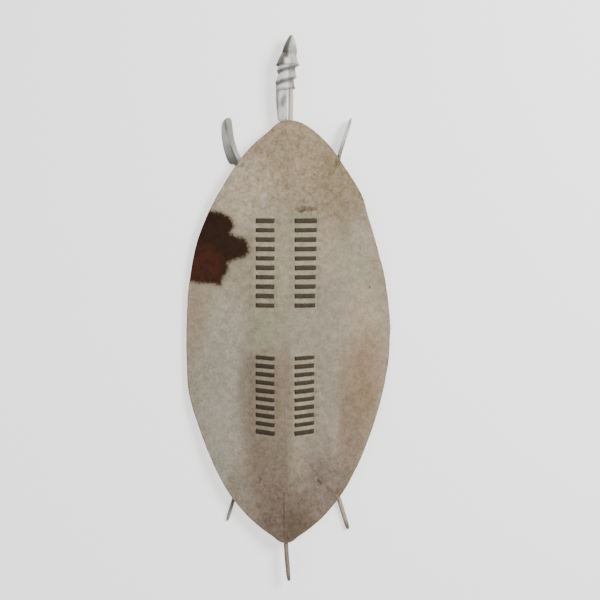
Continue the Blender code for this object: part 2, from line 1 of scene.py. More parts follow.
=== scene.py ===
# %% [markdown]
# # A cowhide shield with its stick, its fur head and two crossed spears
#
# The real thing is a pointed oval of dried cowhide, a metre long. Dark hide strips are laced through
# it in two groups of rungs, and they hold a peeled stick to its back. A strip of pale fur is wound
# round the stick's upper end, and two short spears are crossed behind the hide.
#
# It lies on its back, because it can't stand by itself, and the camera looks straight down on it.
# The plain solids of the part are loaded first. They are the fixed frame that every finished piece
# below is fitted to.

# %% Load the part
import math

import bmesh
import bpy
import numpy as np
from mathutils import Matrix, Vector, noise


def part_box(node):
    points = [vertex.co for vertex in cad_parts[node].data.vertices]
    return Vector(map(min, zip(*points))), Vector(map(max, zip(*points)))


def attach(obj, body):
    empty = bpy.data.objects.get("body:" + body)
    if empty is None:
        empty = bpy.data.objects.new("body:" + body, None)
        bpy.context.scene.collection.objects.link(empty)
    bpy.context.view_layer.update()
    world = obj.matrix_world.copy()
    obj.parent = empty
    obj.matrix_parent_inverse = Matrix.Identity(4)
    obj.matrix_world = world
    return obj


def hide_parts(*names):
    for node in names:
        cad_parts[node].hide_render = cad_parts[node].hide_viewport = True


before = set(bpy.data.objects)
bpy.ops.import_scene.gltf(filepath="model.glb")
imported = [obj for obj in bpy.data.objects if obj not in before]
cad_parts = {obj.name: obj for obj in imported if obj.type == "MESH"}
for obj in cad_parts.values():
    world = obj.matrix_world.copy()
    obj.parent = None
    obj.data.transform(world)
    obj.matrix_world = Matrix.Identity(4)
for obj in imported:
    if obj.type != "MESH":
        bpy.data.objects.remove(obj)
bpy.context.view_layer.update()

# %% [markdown]
# ## Shader maths as Python expressions
#
# A procedural material is a net of small nodes. Wiring dozens of Math nodes by hand hides the idea,
# so one small class wraps a socket and gives it Python's operators: `0.5 + grain * mask` then adds
# the Math nodes by itself. Colours don't go through Math nodes, because those turn a colour grey.
# They are mixed by `blend`. Every other node comes from the one method `node`.

# %% Sockets with operators
class Wire:
    """A node's output that can stand in an expression."""

    def __init__(self, finish, socket):
        self.finish, self.socket = finish, socket

    def __add__(self, other):
        return self.finish.maths("ADD", self, other)

    def __radd__(self, other):
        return self.finish.maths("ADD", other, self)

    def __sub__(self, other):
        return self.finish.maths("SUBTRACT", self, other)

    def __rsub__(self, other):
        return self.finish.maths("SUBTRACT", other, self)

    def __mul__(self, other):
        return self.finish.maths("MULTIPLY", self, other)

    def __rmul__(self, other):
        return self.finish.maths("MULTIPLY", other, self)

    def __truediv__(self, other):
        return self.finish.maths("DIVIDE", self, other)

    def __rtruediv__(self, other):
        return self.finish.maths("DIVIDE", other, self)

    def __pow__(self, other):
        return self.finish.maths("POWER", self, other)


# %% A finish: one material and the helpers that fill it
def tone(red, green, blue):
    """A colour as the eye reads it from 0 to 255, turned into the linear values that shaders use."""
    made = []
    for channel in (red, green, blue):
        share = channel / 255
        made.append(share / 12.92 if share <= 0.04045 else ((share + 0.055) / 1.055) ** 2.4)
    return (*made, 1.0)


class Finish:
    """A material whose nodes are added by expressions."""

    def __init__(self, name):
        self.material = bpy.data.materials.new(name)
        self.material.use_nodes = True
        self.tree = self.material.node_tree
        self.shader = self.tree.nodes["Principled BSDF"]
        self.place = self.node("TexCoord", outputs=("Object",))
        self.x, self.y = self.node("SeparateXYZ", inputs={0: self.place}, outputs=("X", "Y"))

    def node(self, kind, settings=None, inputs=None, outputs=(0,)):
        """Any node. Its settings come first, because they decide which sockets it has."""
        made = self.tree.nodes.new("ShaderNode" + kind)
        for key, value in (settings or {}).items():
            setattr(made, key, value)
        for key, value in (inputs or {}).items():
            self.feed(made.inputs[key], value)
        wires = [Wire(self, made.outputs[output]) for output in outputs]
        return wires[0] if len(wires) == 1 else wires

    def feed(self, socket, value):
        if isinstance(value, Wire):
            self.tree.links.new(value.socket, socket)
        else:
            socket.default_value = value

    def maths(self, operation, *values):
        return self.node("Math", {"operation": operation}, dict(enumerate(values)))

    def clamp01(self, value):
        return self.node("Clamp", inputs={0: value})

    def smooth(self, value, start, end):
        """0 below start and 1 above end, with a soft step between them."""
        places = {"Value": value, "From Min": start, "From Max": end}
        return self.node("MapRange", {"interpolation_type": "SMOOTHSTEP"}, places)

    def blend(self, first, second, share, mode="MIX"):
        """Two colours mixed."""
        settings = {"data_type": "RGBA", "blend_type": mode}
        return self.node("Mix", settings, {0: share, 6: first, 7: second}, (2,))

    def stretched(self, across=1.0, along=1.0, up=1.0):
        """The object's coordinates, scaled by a different amount along each axis."""
        return self.node("VectorMath", {"operation": "MULTIPLY"}, {0: self.place, 1: (across, along, up)})

    def noise(self, scale, detail=4.0, roughness=0.55, at=None, distortion=0.0, four_w=None):
        settings = {"noise_dimensions": "3D" if four_w is None else "4D"}
        inputs = {"Vector": at or self.place, "Scale": scale, "Detail": detail}
        inputs.update({"Roughness": roughness, "Distortion": distortion})
        if four_w is not None:
            inputs["W"] = four_w
        return self.node("TexNoise", settings, inputs)

    def attribute(self, name):
        return self.node("Attribute", {"attribute_name": name}, outputs=("Fac",))

    def spot(self, x, y, wide, long, soft=0.5, ragged=0.0, grain=None, turn=0.0):
        """1 inside an oval round (x, y) and 0 outside it, with a soft and perhaps ragged edge."""
        c, s = math.cos(math.radians(turn)), math.sin(math.radians(turn))
        across, along = self.x - x, self.y - y
        if turn:
            across, along = across * c + along * s, along * c - across * s
        away = (across / wide) ** 2.0 + (along / long) ** 2.0
        if grain is not None:
            away = away + (grain - 0.5) * ragged
        return 1.0 - self.smooth(away, 1.0 - soft, 1.0 + soft)

    def finish(self, colour, roughness, height=None, depth=0.001, **constants):
        """Joins the finished values to the shader. depth is the bump's full height in metres."""
        self.feed(self.shader.inputs["Base Color"], colour)
        self.feed(self.shader.inputs["Roughness"], roughness)
        if height is not None:
            sockets = {"Strength": 1.0, "Distance": depth, "Height": height}
            self.feed(self.shader.inputs["Normal"], self.node("Bump", None, sockets, ("Normal",)))
        for name, value in constants.items():
            self.shader.inputs[name.replace("_", " ").title().replace("Ior", "IOR")].default_value = value
        print("finish:", self.material.name, len(self.tree.nodes), "nodes")
        return self.material


# %% [markdown]
# ## The shield's measures
#
# The solids were made from a few named sizes, and this file can't read the script that made them, so
# the ones that the finished pieces need are repeated here. Some of them are printed beside the loaded
# solids' own below. In the photograph a pixel is 2.364 mm at the hide's face, and its point
# (288.2, 120) is the hide's top.

# %% Sizes and helpers that give the hide's shape
HIDE_LENGTH, HALF_WIDTH, HIDE_THICKNESS = 1.000, 0.2425, 0.0035
FOOT_REACH, HEAD_REACH = 0.090, 0.2035
TIP_Y = (FOOT_REACH + HIDE_LENGTH + HEAD_REACH) / 2
HIDE_TOP_Y = TIP_Y - HEAD_REACH
CROSSING_Y = HIDE_TOP_Y - 0.4929
HIDE_LEAN, LOWER_FALL, UPPER_FALL, CROSSING_BULGE = 0.0060, 0.010, 0.006, 0.0026
STICK_RADIUS, STICK_LEAN, FOOT_KICK, FOOT_BEND = 0.00575, 0.0077, 0.0083, 0.096
STICK_Z, CROWN_Z, RIM_Z = 0.02755, 0.03535, 0.012
PIXEL, PHOTO_X, PHOTO_Y = 0.002364, 288.2, 120
# Each pair is a share of the hide's length, from its top, and the share of HALF_WIDTH there.
LEFT_EDGE = (
    (0, 0), (0.035, 0.235), (0.154, 0.635), (0.225, 0.792), (0.296, 0.903), (0.390, 0.973),
)
RIGHT_EDGE = (
    (0, 0), (0.035, 0.301), (0.106, 0.540), (0.177, 0.718), (0.225, 0.779), (0.366, 0.940),
    (0.437, 0.986),
)
LOWER_EDGE = (
    (0.508, 1), (0.640, 0.953), (0.768, 0.788), (0.863, 0.606), (0.900, 0.503), (0.957, 0.285),
    (0.981, 0.149),
)


def clamp(value):
    return max(0.0, min(1.0, value))


def soft_step(value):
    t = clamp(value)
    return t * t * (3 - 2 * t)


def at_photo(px, py):
    """The place on the shield that a point of the photograph shows."""
    return (px - PHOTO_X) * PIXEL, HIDE_TOP_Y - (py - PHOTO_Y) * PIXEL


def in_photo(x, y):
    """The point of the photograph that shows a place on the shield."""
    return x / PIXEL + PHOTO_X, PHOTO_Y + (HIDE_TOP_Y - y) / PIXEL


def below_top(y):
    """A height as a share of the hide's length, 0 at its top and 1 at its foot."""
    return clamp((HIDE_TOP_Y - y) / HIDE_LENGTH)


def hide_lean(y):
    """The lower half of the hide lies a little to the left."""
    return -HIDE_LEAN * soft_step((below_top(y) - 0.53) / 0.12)


def half_width(y, side):
    """The hide's reach to one side. Its square is what the curve follows, so both points are round."""
    places = (LEFT_EDGE if side < 0 else RIGHT_EDGE) + LOWER_EDGE + ((1, 0),)
    below, last, i = below_top(y), len(places) - 1, 0
    while i < last - 1 and below > places[i + 1][0]:
        i += 1

    def slope(k):
        a, b = places[max(0, k - 1)], places[min(last, k + 1)]
        return (b[1] ** 2 - a[1] ** 2) / (b[0] - a[0])

    span = places[i + 1][0] - places[i][0]
    t = (below - places[i][0]) / span
    square = (2 * t**3 - 3 * t**2 + 1) * places[i][1] ** 2 + (3 * t**2 - 2 * t**3) * places[i + 1][1] ** 2
    square += (t**3 - 2 * t**2 + t) * span * slope(i) + (t**3 - t**2) * span * slope(i + 1)
    return HALF_WIDTH * math.sqrt(max(0.0, square))


def hide_z(x, y):
    """The height of the sheet's middle: bowed, falling to the sides of both points, fuller between."""
    bowed = RIM_Z + (CROWN_Z - RIM_Z) * (1 - abs(x / HALF_WIDTH) ** 2.6)
    below = below_top(y)
    fall = LOWER_FALL * soft_step((below - 0.753) / 0.247) + UPPER_FALL * soft_step(1 - below / 0.192)
    bulge = CROSSING_BULGE * soft_step((0.240 - math.hypot(x, y - CROSSING_Y)) / 0.220)
    return bowed - fall * (1 - math.exp(-((x / 0.050) ** 2))) + bulge


def stick_x(y):
    """The stick leans to the right as it rises, and its foot bends to the right."""
    bend = clamp((FOOT_BEND - TIP_Y - y) / FOOT_BEND)
    return STICK_LEAN / (TIP_Y - CROSSING_Y) * (y - CROSSING_Y) + FOOT_KICK * bend**1.4


crown = max(hide_z(0, y / 100) for y in range(-50, 44)) + HIDE_THICKNESS / 2


# %% [markdown]
# ## The lacing: rungs and where their slits are
#
# Each dark strip goes once across the shield. It lies on the front at the left, passes through a
# slit, crosses behind the stick, comes out again at the right, and ends in a tail on the back. The
# list below gives each rung's height, width and slits. It is used for the slits, for the strips, for
# the low ridges that they press up in the hide, and for the lanes that they have rubbed pale.

# %% The rungs
LEFT_INNER, RIGHT_INNER, LEFT_BAR = -0.0338, 0.0160, 0.0422
RUNGS_IN_GROUP = 10


class Rung:
    """One strip: how high it lies, how wide it is, and where it goes through the hide."""

    def __init__(self, y, width, sag, right_bar):
        self.y, self.width, self.sag = y, width, sag
        self.left_inner, self.right_inner = LEFT_INNER, RIGHT_INNER
        self.left_outer, self.right_outer = LEFT_INNER - LEFT_BAR, RIGHT_INNER + right_bar

    def slits(self):
        return (self.left_outer, self.left_inner, self.right_inner, self.right_outer)

    def drop(self, x):
        """How far it lies below y: nothing at its outer slits, and its whole sag between the inner ones."""
        left = (x - self.left_outer) / (self.left_inner - self.left_outer)
        right = (self.right_outer - x) / (self.right_outer - self.right_inner)
        return self.sag * min(clamp(left), clamp(right))


def make_rungs():
    """Each group: its start below the hide's top, its pitch, the strips' width, and for its first and
    last rung the sag and the length of the right bar."""
    groups = (
        (0.2381, 0.0222, 0.0104, (0.0004, 0.0008), (0.0505, 0.0465)),
        (0.5605, 0.0194, 0.0098, (0.0036, 0.0064), (0.0440, 0.0436)),
    )
    made = []
    for first, pitch, strip_width, sags, bars in groups:
        for i in range(RUNGS_IN_GROUP):
            width = strip_width * (1 + 0.08 * math.sin(2.4 * i + 9 * first))
            sag, bar = (a + (b - a) * i / (RUNGS_IN_GROUP - 1) for a, b in (sags, bars))
            made.append(Rung(HIDE_TOP_Y - first - i * pitch, width, sag, bar))
    return made


rungs = make_rungs()
strip_nodes = sorted(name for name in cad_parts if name.startswith("lacing"))
upper_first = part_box("lacing_upper_01")
solid_y = (upper_first[0].y + upper_first[1].y) / 2
print("rungs:", len(rungs), "first one, solid and here:", round(solid_y, 4), round(rungs[0].y, 4))

# %% Where the strips press the hide up, and where they rub it
RIDGE_START, RIDGE_LENGTH, RIDGE_SIDE, RIDGE_SPREAD = 0.002, 0.016, 0.003, 0.001
LANE_EDGE = 0.004


def ramp(values, start, end):
    """0 at the start and 1 at the end, for a whole array."""
    return np.clip((values - start) / (end - start), 0, 1)


def pressed_height(places):
    """0 to 1: how much a strip on the back raises the hide at each point."""
    made = np.zeros(len(places))
    x = places[:, 0]
    for rung in rungs:
        for slit, side in zip(rung.slits(), (-1, 1, -1, 1)):
            start, end = sorted((slit + side * RIDGE_START, slit + side * RIDGE_LENGTH))
            off = np.abs(places[:, 1] - rung.y + rung.drop(slit))
            along = ramp(x, start, start + RIDGE_SIDE) * ramp(-x, -end, RIDGE_SIDE - end)
            reach = rung.width / 2
            across = ramp(-off, -reach - RIDGE_SPREAD, RIDGE_SIDE - reach - RIDGE_SPREAD)
            made = np.maximum(made, along * across)
    return made


def lane_share(places):
    """0 to 1: how far each point lies among the bars, where the strips have rubbed the hide pale."""
    made = np.zeros(len(places))
    x, y = places[:, 0], places[:, 1]
    for group in (rungs[:RUNGS_IN_GROUP], rungs[RUNGS_IN_GROUP:]):
        first, last = group[0], group[-1]
        for start, end in zip(first.slits()[::2], first.slits()[1::2]):
            inside = ramp(x, start - LANE_EDGE, start + LANE_EDGE)
            inside *= ramp(-x, -end - LANE_EDGE, LANE_EDGE - end)
            inside *= ramp(-y, -first.y - 0.012, -first.y - 0.004) * ramp(y, last.y - 0.018, last.y - 0.010)
            made = np.maximum(made, inside)
    return made

# %% [markdown]
# ## The sheet of hide
#
# A dried hide is stiff and nearly even in thickness, but never flat. It bows over the stick, its edge
# wavers where the knife went, broad shallow waves stay from drying, and it rises a little where a
# strip runs behind it. It could be a plane with a Solidify modifier, but then the edge would be
# square. Here two dense skins of points are made from the same rule as the solid, with a rounded rim
# between them, so the edge is worn round and the waves are real.

# %% Points and faces of the sheet
HIDE_ROWS, HIDE_COLUMNS, RIM_STEPS = 290, 136, 3


def drying_waves(x, y):
    """Broad waves of about a millimetre, none near the lacing and the stick."""
    from_lacing = soft_step((abs(x) - 0.085) / 0.05)
    wave = noise.fractal(Vector((x * 9, y * 6, 3.1)), 0.6, 2.0, 3)
    return 0.0016 * wave * from_lacing


def knife_wander(y, side):
    """How far the cut edge strays from the even outline."""
    return 0.0011 * noise.fractal(Vector((7.0 * side, y * 22, 0.5)), 0.8, 2.1, 3)


def sheet_points():
    """Rings of points from the hide's top to its foot: along the front, round the rim, and back."""
    half = HIDE_THICKNESS / 2
    rows = []
    for i in range(HIDE_ROWS + 1):
        share = i / HIDE_ROWS
        y = HIDE_TOP_Y - HIDE_LENGTH * (0.55 * share + 0.45 * (1 - math.cos(math.pi * share)) / 2)
        end = soft_step(min(i, HIDE_ROWS - i) / 12)
        row = []
        for c in range(HIDE_COLUMNS + 1):
            across = c / HIDE_COLUMNS * 2 - 1
            side = 1 if across >= 0 else -1
            width = half_width(y, side) + knife_wander(y, side) * end - half
            spread = 0.4 * abs(across) + 0.6 * math.sin(abs(across) * math.pi / 2)
            x = hide_lean(y) + side * max(0.0, width) * spread
            row.append((x, y, hide_z(x, y) + drying_waves(x, y)))
        left, right = row[0], row[-1]
        turns = [math.pi * k / (RIM_STEPS + 1) for k in range(1, RIM_STEPS + 1)]
        ring = [(x, y, z + half) for x, y, z in row]
        ring += [(right[0] + half * math.sin(t), y, right[2] + half * math.cos(t)) for t in turns]
        ring += [(x, y, z - half) for x, y, z in reversed(row)]
        ring += [(left[0] - half * math.sin(t), y, left[2] - half * math.cos(t)) for t in turns]
        rows.append(ring)
    return rows


def skin_over(rings, capped=True):
    """A mesh over equal rings of points, with its faces turned outwards and perhaps both ends closed."""
    made = bmesh.new()
    verts = [[made.verts.new(p) for p in ring] for ring in rings]
    count = len(rings[0])
    for a, b in zip(verts, verts[1:]):
        for k in range(count):
            made.faces.new((a[k], a[(k + 1) % count], b[(k + 1) % count], b[k]))
    for ring in (verts[0], verts[-1]) if capped else ():
        centre = made.verts.new(sum((v.co for v in ring), Vector()) / count)
        for k in range(count):
            made.faces.new((ring[k], ring[(k + 1) % count], centre))
    bmesh.ops.remove_doubles(made, verts=made.verts, dist=2e-6)
    bmesh.ops.dissolve_degenerate(made, edges=made.edges, dist=1e-7)
    bmesh.ops.recalc_face_normals(made, faces=made.faces)
    return made


def to_object(made, name, smooth=True):
    mesh = bpy.data.meshes.new(name)
    made.to_mesh(mesh)
    made.free()
    mesh.polygons.foreach_set("use_smooth", [smooth] * len(mesh.polygons))
    piece = bpy.data.objects.new(name, mesh)
    bpy.context.scene.collection.objects.link(piece)
    return piece


def triangles(piece):
    piece.data.calc_loop_triangles()
    return len(piece.data.loop_triangles)


def point_array(piece):
    flat = np.zeros(len(piece.data.vertices) * 3)
    piece.data.vertices.foreach_get("co", flat)
    return flat.reshape(-1, 3)


sheet = to_object(skin_over(sheet_points(), capped=False), "hide_sheet")
print("sheet:", triangles(sheet), "triangles")

# %% Raise its front over the strips, and let the hair lie in low tufts
RIDGE_HEIGHT, TUFT_HEIGHT = 0.0009, 0.0003


def raise_front(piece):
    """Lifts the points that look up: a low ridge over each strip, and tufts everywhere."""
    places = point_array(piece)
    facing = np.zeros(len(places) * 3)
    piece.data.vertices.foreach_get("normal", facing)
    front = facing.reshape(-1, 3)[:, 2] > 0.5
    tufts = np.array([noise.fractal(Vector((x * 70, y * 42, 1.7)), 0.7, 2.0, 2) for x, y, _ in places])
    lift = pressed_height(places) * RIDGE_HEIGHT + tufts * TUFT_HEIGHT
    places[:, 2] += np.where(front, lift, 0.0)
    piece.data.vertices.foreach_set("co", places.ravel())
    piece.data.update()
    print("front points:", int(front.sum()), "on ridges:", int((front & (lift > 0.0005)).sum()))


raise_front(sheet)

# %% [markdown]
# ## The slits
#
# Each strip passes through the hide in a slit at both ends of a bar. A slit painted on would do from
# afar, but the back is looked at as well, so they are real cuts: eighty slim boxes are taken out of
# the sheet by one Boolean.

# %% Cut the slits
SLIT_WIDTH, SLIT_SHORTER, SLIT_DEPTH = 0.0019, 0.0008, 0.02


def slit_boxes():
    """A little smaller than the strips, so that a pulled-tight strip fills its slit."""
    made = bmesh.new()
    for rung in rungs:
        for x in rung.slits():
            size = (SLIT_WIDTH, rung.width - SLIT_SHORTER, SLIT_DEPTH)
            place = Matrix.Translation((x, rung.y - rung.drop(x), hide_z(x, rung.y)))
            bmesh.ops.create_cube(made, size=1.0, matrix=place @ Matrix.Diagonal((*size, 1.0)))
    return made


def settled(piece):
    """The object with its modifiers worked into its mesh and then removed."""
    bpy.context.view_layer.update()
    evaluated = piece.evaluated_get(bpy.context.evaluated_depsgraph_get())
    mesh = bpy.data.meshes.new_from_object(evaluated)
    piece.modifiers.clear()
    piece.data = mesh
    return piece


cutter = to_object(slit_boxes(), "slit_cutter", smooth=False)
cut = sheet.modifiers.new("slits", "BOOLEAN")
cut.operation, cut.solver, cut.object = "DIFFERENCE", "EXACT", cutter
sheet = settled(sheet)
bpy.data.objects.remove(cutter)
print("sheet with slits:", triangles(sheet), "triangles")

# %% [markdown]
# ## The dark patch
#
# Cowhide is spotted, and here one dark brown patch lies at the left edge. Its outline is lobed, so it
# can't be a plain oval. A few points give the outline as a loop, and each point of the sheet stores
# how far it is inside or outside that loop. The material then frays the edge with noise, as hair
# does, and stays sharp where the mesh is coarse, because a distance changes evenly. How far a point
# is from the rim, on a ridge and in a lane is stored in the same way.

# %% Distance to the patch's outline
PATCH = (
    (196, 205), (211, 211), (221, 213), (230, 218), (234, 226), (229, 233), (236, 237), (245, 239),
    (248, 246), (249, 253), (244, 257), (235, 259), (227, 263), (228, 270), (223, 277), (220, 285),
    (210, 283), (200, 283), (180, 279), (175, 240),
)


def loop_distance(points, loop):
    """Signed distance in metres from each (x, y) to a closed loop: above 0 inside it."""
    best = np.full(len(points), 1e9)
    inside = np.zeros(len(points), bool)
    for a, b in zip(loop, np.roll(loop, -1, axis=0)):
        edge = b - a
        share = np.clip(((points - a) @ edge) / (edge @ edge), 0, 1)
        best = np.minimum(best, np.linalg.norm(points - a - share[:, None] * edge, axis=1))
        crosses = (a[1] > points[:, 1]) != (b[1] > points[:, 1])
        with np.errstate(divide="ignore", invalid="ignore"):
            at = a[0] + (points[:, 1] - a[1]) / (b[1] - a[1]) * (b[0] - a[0])
        inside ^= crosses & (points[:, 0] < at)
    return np.where(inside, best, -best)


def store(piece, name, values):
    """Keeps a number for each point under a name, for a material or a tree to read."""
    layer = piece.data.attributes.new(name, "FLOAT", "POINT")
    layer.data.foreach_set("value", np.asarray(values, np.float32))


loop = np.array([at_photo(px, py) for px, py in PATCH])
sheet_places = point_array(sheet)
patch_depth = loop_distance(sheet_places[:, :2], loop)
store(sheet, "patch_depth", patch_depth)
outline_rows = np.linspace(HIDE_TOP_Y, HIDE_TOP_Y - HIDE_LENGTH, 120)
outline = [(hide_lean(y) - half_width(y, -1), y) for y in outline_rows]
outline += [(hide_lean(y) + half_width(y, 1), y) for y in outline_rows[-2:0:-1]]
store(sheet, "from_rim", loop_distance(sheet_places[:, :2], np.array(outline)))
store(sheet, "pressed", pressed_height(sheet_places))
store(sheet, "lane", lane_share(sheet_places))
print("points inside the patch:", int((patch_depth > 0).sum()))

# %% [markdown]
# ## Haired cowhide
#
# Short hair lies close to the skin, so from a few steps away the hide shows as a warm grey with a
# fine streaked grain along the hair, cloudy mottling some centimetres wide, and stains from smoke,
# hands and fat. The front is one material, built up in this order: a base, soft stains, painted
# shade on the slope left of the stick, small marks, ridges, lanes and rim, then speckle and hair over
# all of it, and the patch on top. The bump is the speckle and the hair.

# %% Stains, by place and colour
# Each is a place in the photograph, half its width and length in its pixels, a colour and a strength.
HIDE_STAINS = (
    (300, 156, 60, 46, (148, 131, 104), 0.85),
    (341, 190, 24, 54, (130, 115, 89), 0.80),
    (240, 192, 34, 38, (170, 155, 132), 0.80),
    (206, 300, 26, 26, (158, 144, 118), 0.60),
    (314, 322, 36, 66, (146, 136, 119), 0.85),
    (282, 262, 9, 50, (150, 141, 117), 0.60),
    (328, 250, 13, 34, (160, 143, 124), 0.60),
    (356, 254, 16, 36, (152, 144, 124), 0.60),
    (258, 328, 18, 18, (138, 134, 111), 0.70),
    (226, 330, 20, 40, (160, 151, 134), 0.75),
    (196, 322, 7, 36, (150, 131, 110), 0.70),
    (364, 320, 18, 34, (157, 142, 119), 0.70),
    (368, 372, 14, 44, (140, 113, 88), 0.60),
    (355, 400, 19, 60, (130, 107, 84), 0.65),
    (350, 440, 12, 40, (128, 110, 91), 0.70),
    (220, 402, 28, 70, (153, 145, 130), 0.80),
    (212, 474, 18, 24, (144, 142, 127), 0.60),
    (240, 490, 14, 26, (134, 121, 106), 0.70),
    (284, 394, 9, 48, (126, 110, 92), 0.75),
    (250, 396, 12, 54, (112, 99, 80), 0.60),
    (265, 396, 14, 48, (112, 97, 79), 0.65),
    (326, 394, 13, 48, (144, 132, 118), 0.60),
    (318, 455, 18, 26, (133, 119, 107), 0.65),
    (322, 492, 26, 32, (116, 101, 90), 0.80),
    (272, 470, 24, 44, (108, 92, 75), 0.65),
    (286, 520, 26, 34, (94, 78, 63), 0.70),
    (287, 545, 42, 34, (92, 78, 64), 0.85),
)
# Small marks have a turn, in degrees, as well.
HIDE_MARKS = (
    (306, 209, 10, 3.0, 0, (92, 74, 54), 0.70),
    (302, 211, 4, 1.6, 20, (80, 62, 46), 0.70),
    (320, 482, 1.6, 4.2, 38, (74, 62, 52), 0.80),
    (322, 480, 1.3, 30, 38, (104, 90, 80), 0.50),
    (260, 480, 1.4, 3.6, -4, (84, 70, 56), 0.55),
    (286, 455, 0.8, 60, 2, (116, 103, 90), 0.45),
    (284, 515, 1.0, 24, 0, (74, 62, 50), 0.50),
    (370, 287, 1.2, 1.4, 0, (84, 72, 58), 0.80),
    (242, 165, 4.5, 2.0, 30, (104, 88, 66), 0.50),
    (338, 163, 3.0, 6.0, -30, (98, 84, 62), 0.60),
    (340, 493, 4.0, 5.0, 0, (112, 92, 72), 0.60),
)

# %% Front of the hide
def cowhide_front():
    f = Finish("cowhide_front")
    cloud = f.noise(9, 4, 0.6)
    tint = f.noise(17, 3, 0.6, four_w=13.0)
    mottle = f.smooth(f.noise(58, 4, 0.65, four_w=2.0), 0.33, 0.67)
    blotch = f.smooth(f.noise(150, 3, 0.65, four_w=5.0), 0.32, 0.68)
    fleck = f.smooth(f.noise(380, 3, 0.6, four_w=7.0), 0.32, 0.68)
    hair = f.noise(1.0, 3, 0.7, at=f.stretched(1500, 230, 1500), distortion=0.7)

    colour = f.blend(tone(141, 130, 110), tone(153, 141, 121), f.smooth(cloud, 0.36, 0.64))
    for px, py, wide, long, stained, strength in HIDE_STAINS:
        mask = f.spot(*at_photo(px, py), wide * PIXEL, long * PIXEL, 0.9, 0.9, cloud)
        colour = f.blend(colour, tone(*stained), mask * strength)

    # Painted shade: the hide falls away from the stick at its left, and that slope is darkened, with a soft
    # edge.
    edge_x, ridge_x = at_photo(246, 0)[0], at_photo(290, 0)[0]
    ridge_shade = f.smooth(f.x + (blotch - 0.5) * 0.006 + (cloud - 0.5) * 0.02, edge_x, edge_x + 0.030)
    ridge_shade = ridge_shade * (1.0 - f.smooth(f.x, ridge_x - 0.020, ridge_x + 0.004))
    ridge_shade = ridge_shade * (1.0 - f.smooth(f.y, at_photo(0, 470)[1], at_photo(0, 425)[1]))
    colour = f.blend(colour, tone(118, 103, 88), ridge_shade * 0.62)

    for px, py, wide, long, turn, marked, strength in HIDE_MARKS:
        mask = f.spot(*at_photo(px, py), wide * PIXEL, long * PIXEL, 0.7, 0.9, blotch, turn)
        colour = f.blend(colour, tone(*marked), mask * strength)
    pressed = f.attribute("pressed")
    colour = f.blend(colour, tone(118, 103, 88), pressed * (0.16 + blotch * 0.44))
    colour = f.blend(colour, tone(180, 169, 151), f.attribute("lane") * (0.08 + fleck * 0.20))
    rim = 1.0 - f.smooth(f.attribute("from_rim") + (blotch - 0.5) * 0.003, 0.0002, 0.0040)
    colour = f.blend(colour, tone(110, 98, 80), rim * 0.45)

    # Brown speckle and pale hair swing evenly round the colour below them, most at both ends.
    top = f.smooth(f.y, at_photo(300, 235)[1], at_photo(300, 185)[1])
    foot = 1.0 - f.smooth(f.y, at_photo(300, 520)[1], at_photo(300, 430)[1])
    grain = mottle * 0.36 + blotch * 0.34 + fleck * 0.14 + hair * 0.16
    swing = (grain - 0.5) * (0.95 + top * 0.55 + foot * 0.40)
    drift = tint - 0.5
    red = 1.0 + swing * 0.62 + drift * 0.16
    green = 1.0 + swing * 0.74 - drift * 0.10
    blue = 1.0 + swing * 0.90 + drift * 0.12
    colour = f.blend(colour, f.node("CombineColor", inputs={0: red, 1: green, 2: blue}), 1.0, "MULTIPLY")

    frayed = (mottle - 0.5) * 0.0030 + (blotch - 0.5) * 0.0040 + (hair - 0.5) * 0.016
    depth = f.attribute("patch_depth") + frayed
    fringe = f.smooth(depth, -0.0150, 0.0010)
    patch = f.smooth(depth, -0.0055, 0.0045)
    ruddy = f.spot(*at_photo(204, 266), 0.042, 0.050, 0.8, 0.8, cloud)
    brown = f.blend(tone(44, 25, 11), tone(64, 31, 18), ruddy)
    brown = f.blend(brown, tone(24, 13, 7), f.smooth(mottle, 0.3, 1.0) * 0.42)
    colour = f.blend(colour, tone(92, 72, 54), fringe ** 2.0 * (0.30 + blotch * 0.35))
    colour = f.blend(colour, brown, patch)

    height = hair * 0.30 + fleck * 0.30 + blotch * 0.25 + mottle * 0.15
    return f.finish(colour, 0.76 + fleck * 0.14 - patch * 0.10, height, 0.0012, specular_ior_level=0.15)

# %% [markdown]
# ## The back of the hide
#
# The flesh side has no hair. It is scraped rawhide: yellower and smoother, with scrape marks and
# faint veins, and a trace of the patch. The sheet gets it as a second material on every face that
# looks down.

# %% Back of the hide
def rawhide_back():
    f = Finish("rawhide_back")
    cloud = f.noise(7, 5, 0.6, four_w=8.0)
    vein = f.noise(34, 3, 0.5, at=f.stretched(1.0, 0.4, 1.0), distortion=1.6)
    scrape = f.noise(1.0, 3, 0.6, at=f.stretched(60, 700, 60))
    colour = f.blend(tone(178, 156, 122), tone(150, 124, 92), f.smooth(cloud, 0.35, 0.7))
    lines = 1.0 - f.smooth(f.maths("ABSOLUTE", vein - 0.5), 0.0, 0.02)
    colour = f.blend(colour, tone(118, 92, 68), lines * 0.35)
    colour = f.blend(colour, tone(196, 178, 146), f.smooth(scrape, 0.55, 0.75) * 0.35)
    patch = f.smooth(f.attribute("patch_depth") + (cloud - 0.5) * 0.02, -0.004, 0.008)
    colour = f.blend(colour, tone(112, 84, 62), patch * 0.55)
    return f.finish(colour, 0.5 + cloud * 0.2, scrape * 0.6 + vein * 0.4, 0.0009)


sheet.data.materials.clear()
sheet.data.materials.append(cowhide_front())
sheet.data.materials.append(rawhide_back())
faces = sheet.data.polygons
facing = np.zeros(len(faces) * 3)
faces.foreach_get("normal", facing)
faces.foreach_set("material_index", (facing.reshape(-1, 3)[:, 2] < -0.3).astype(np.int32))
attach(sheet, "root")
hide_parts("hide")

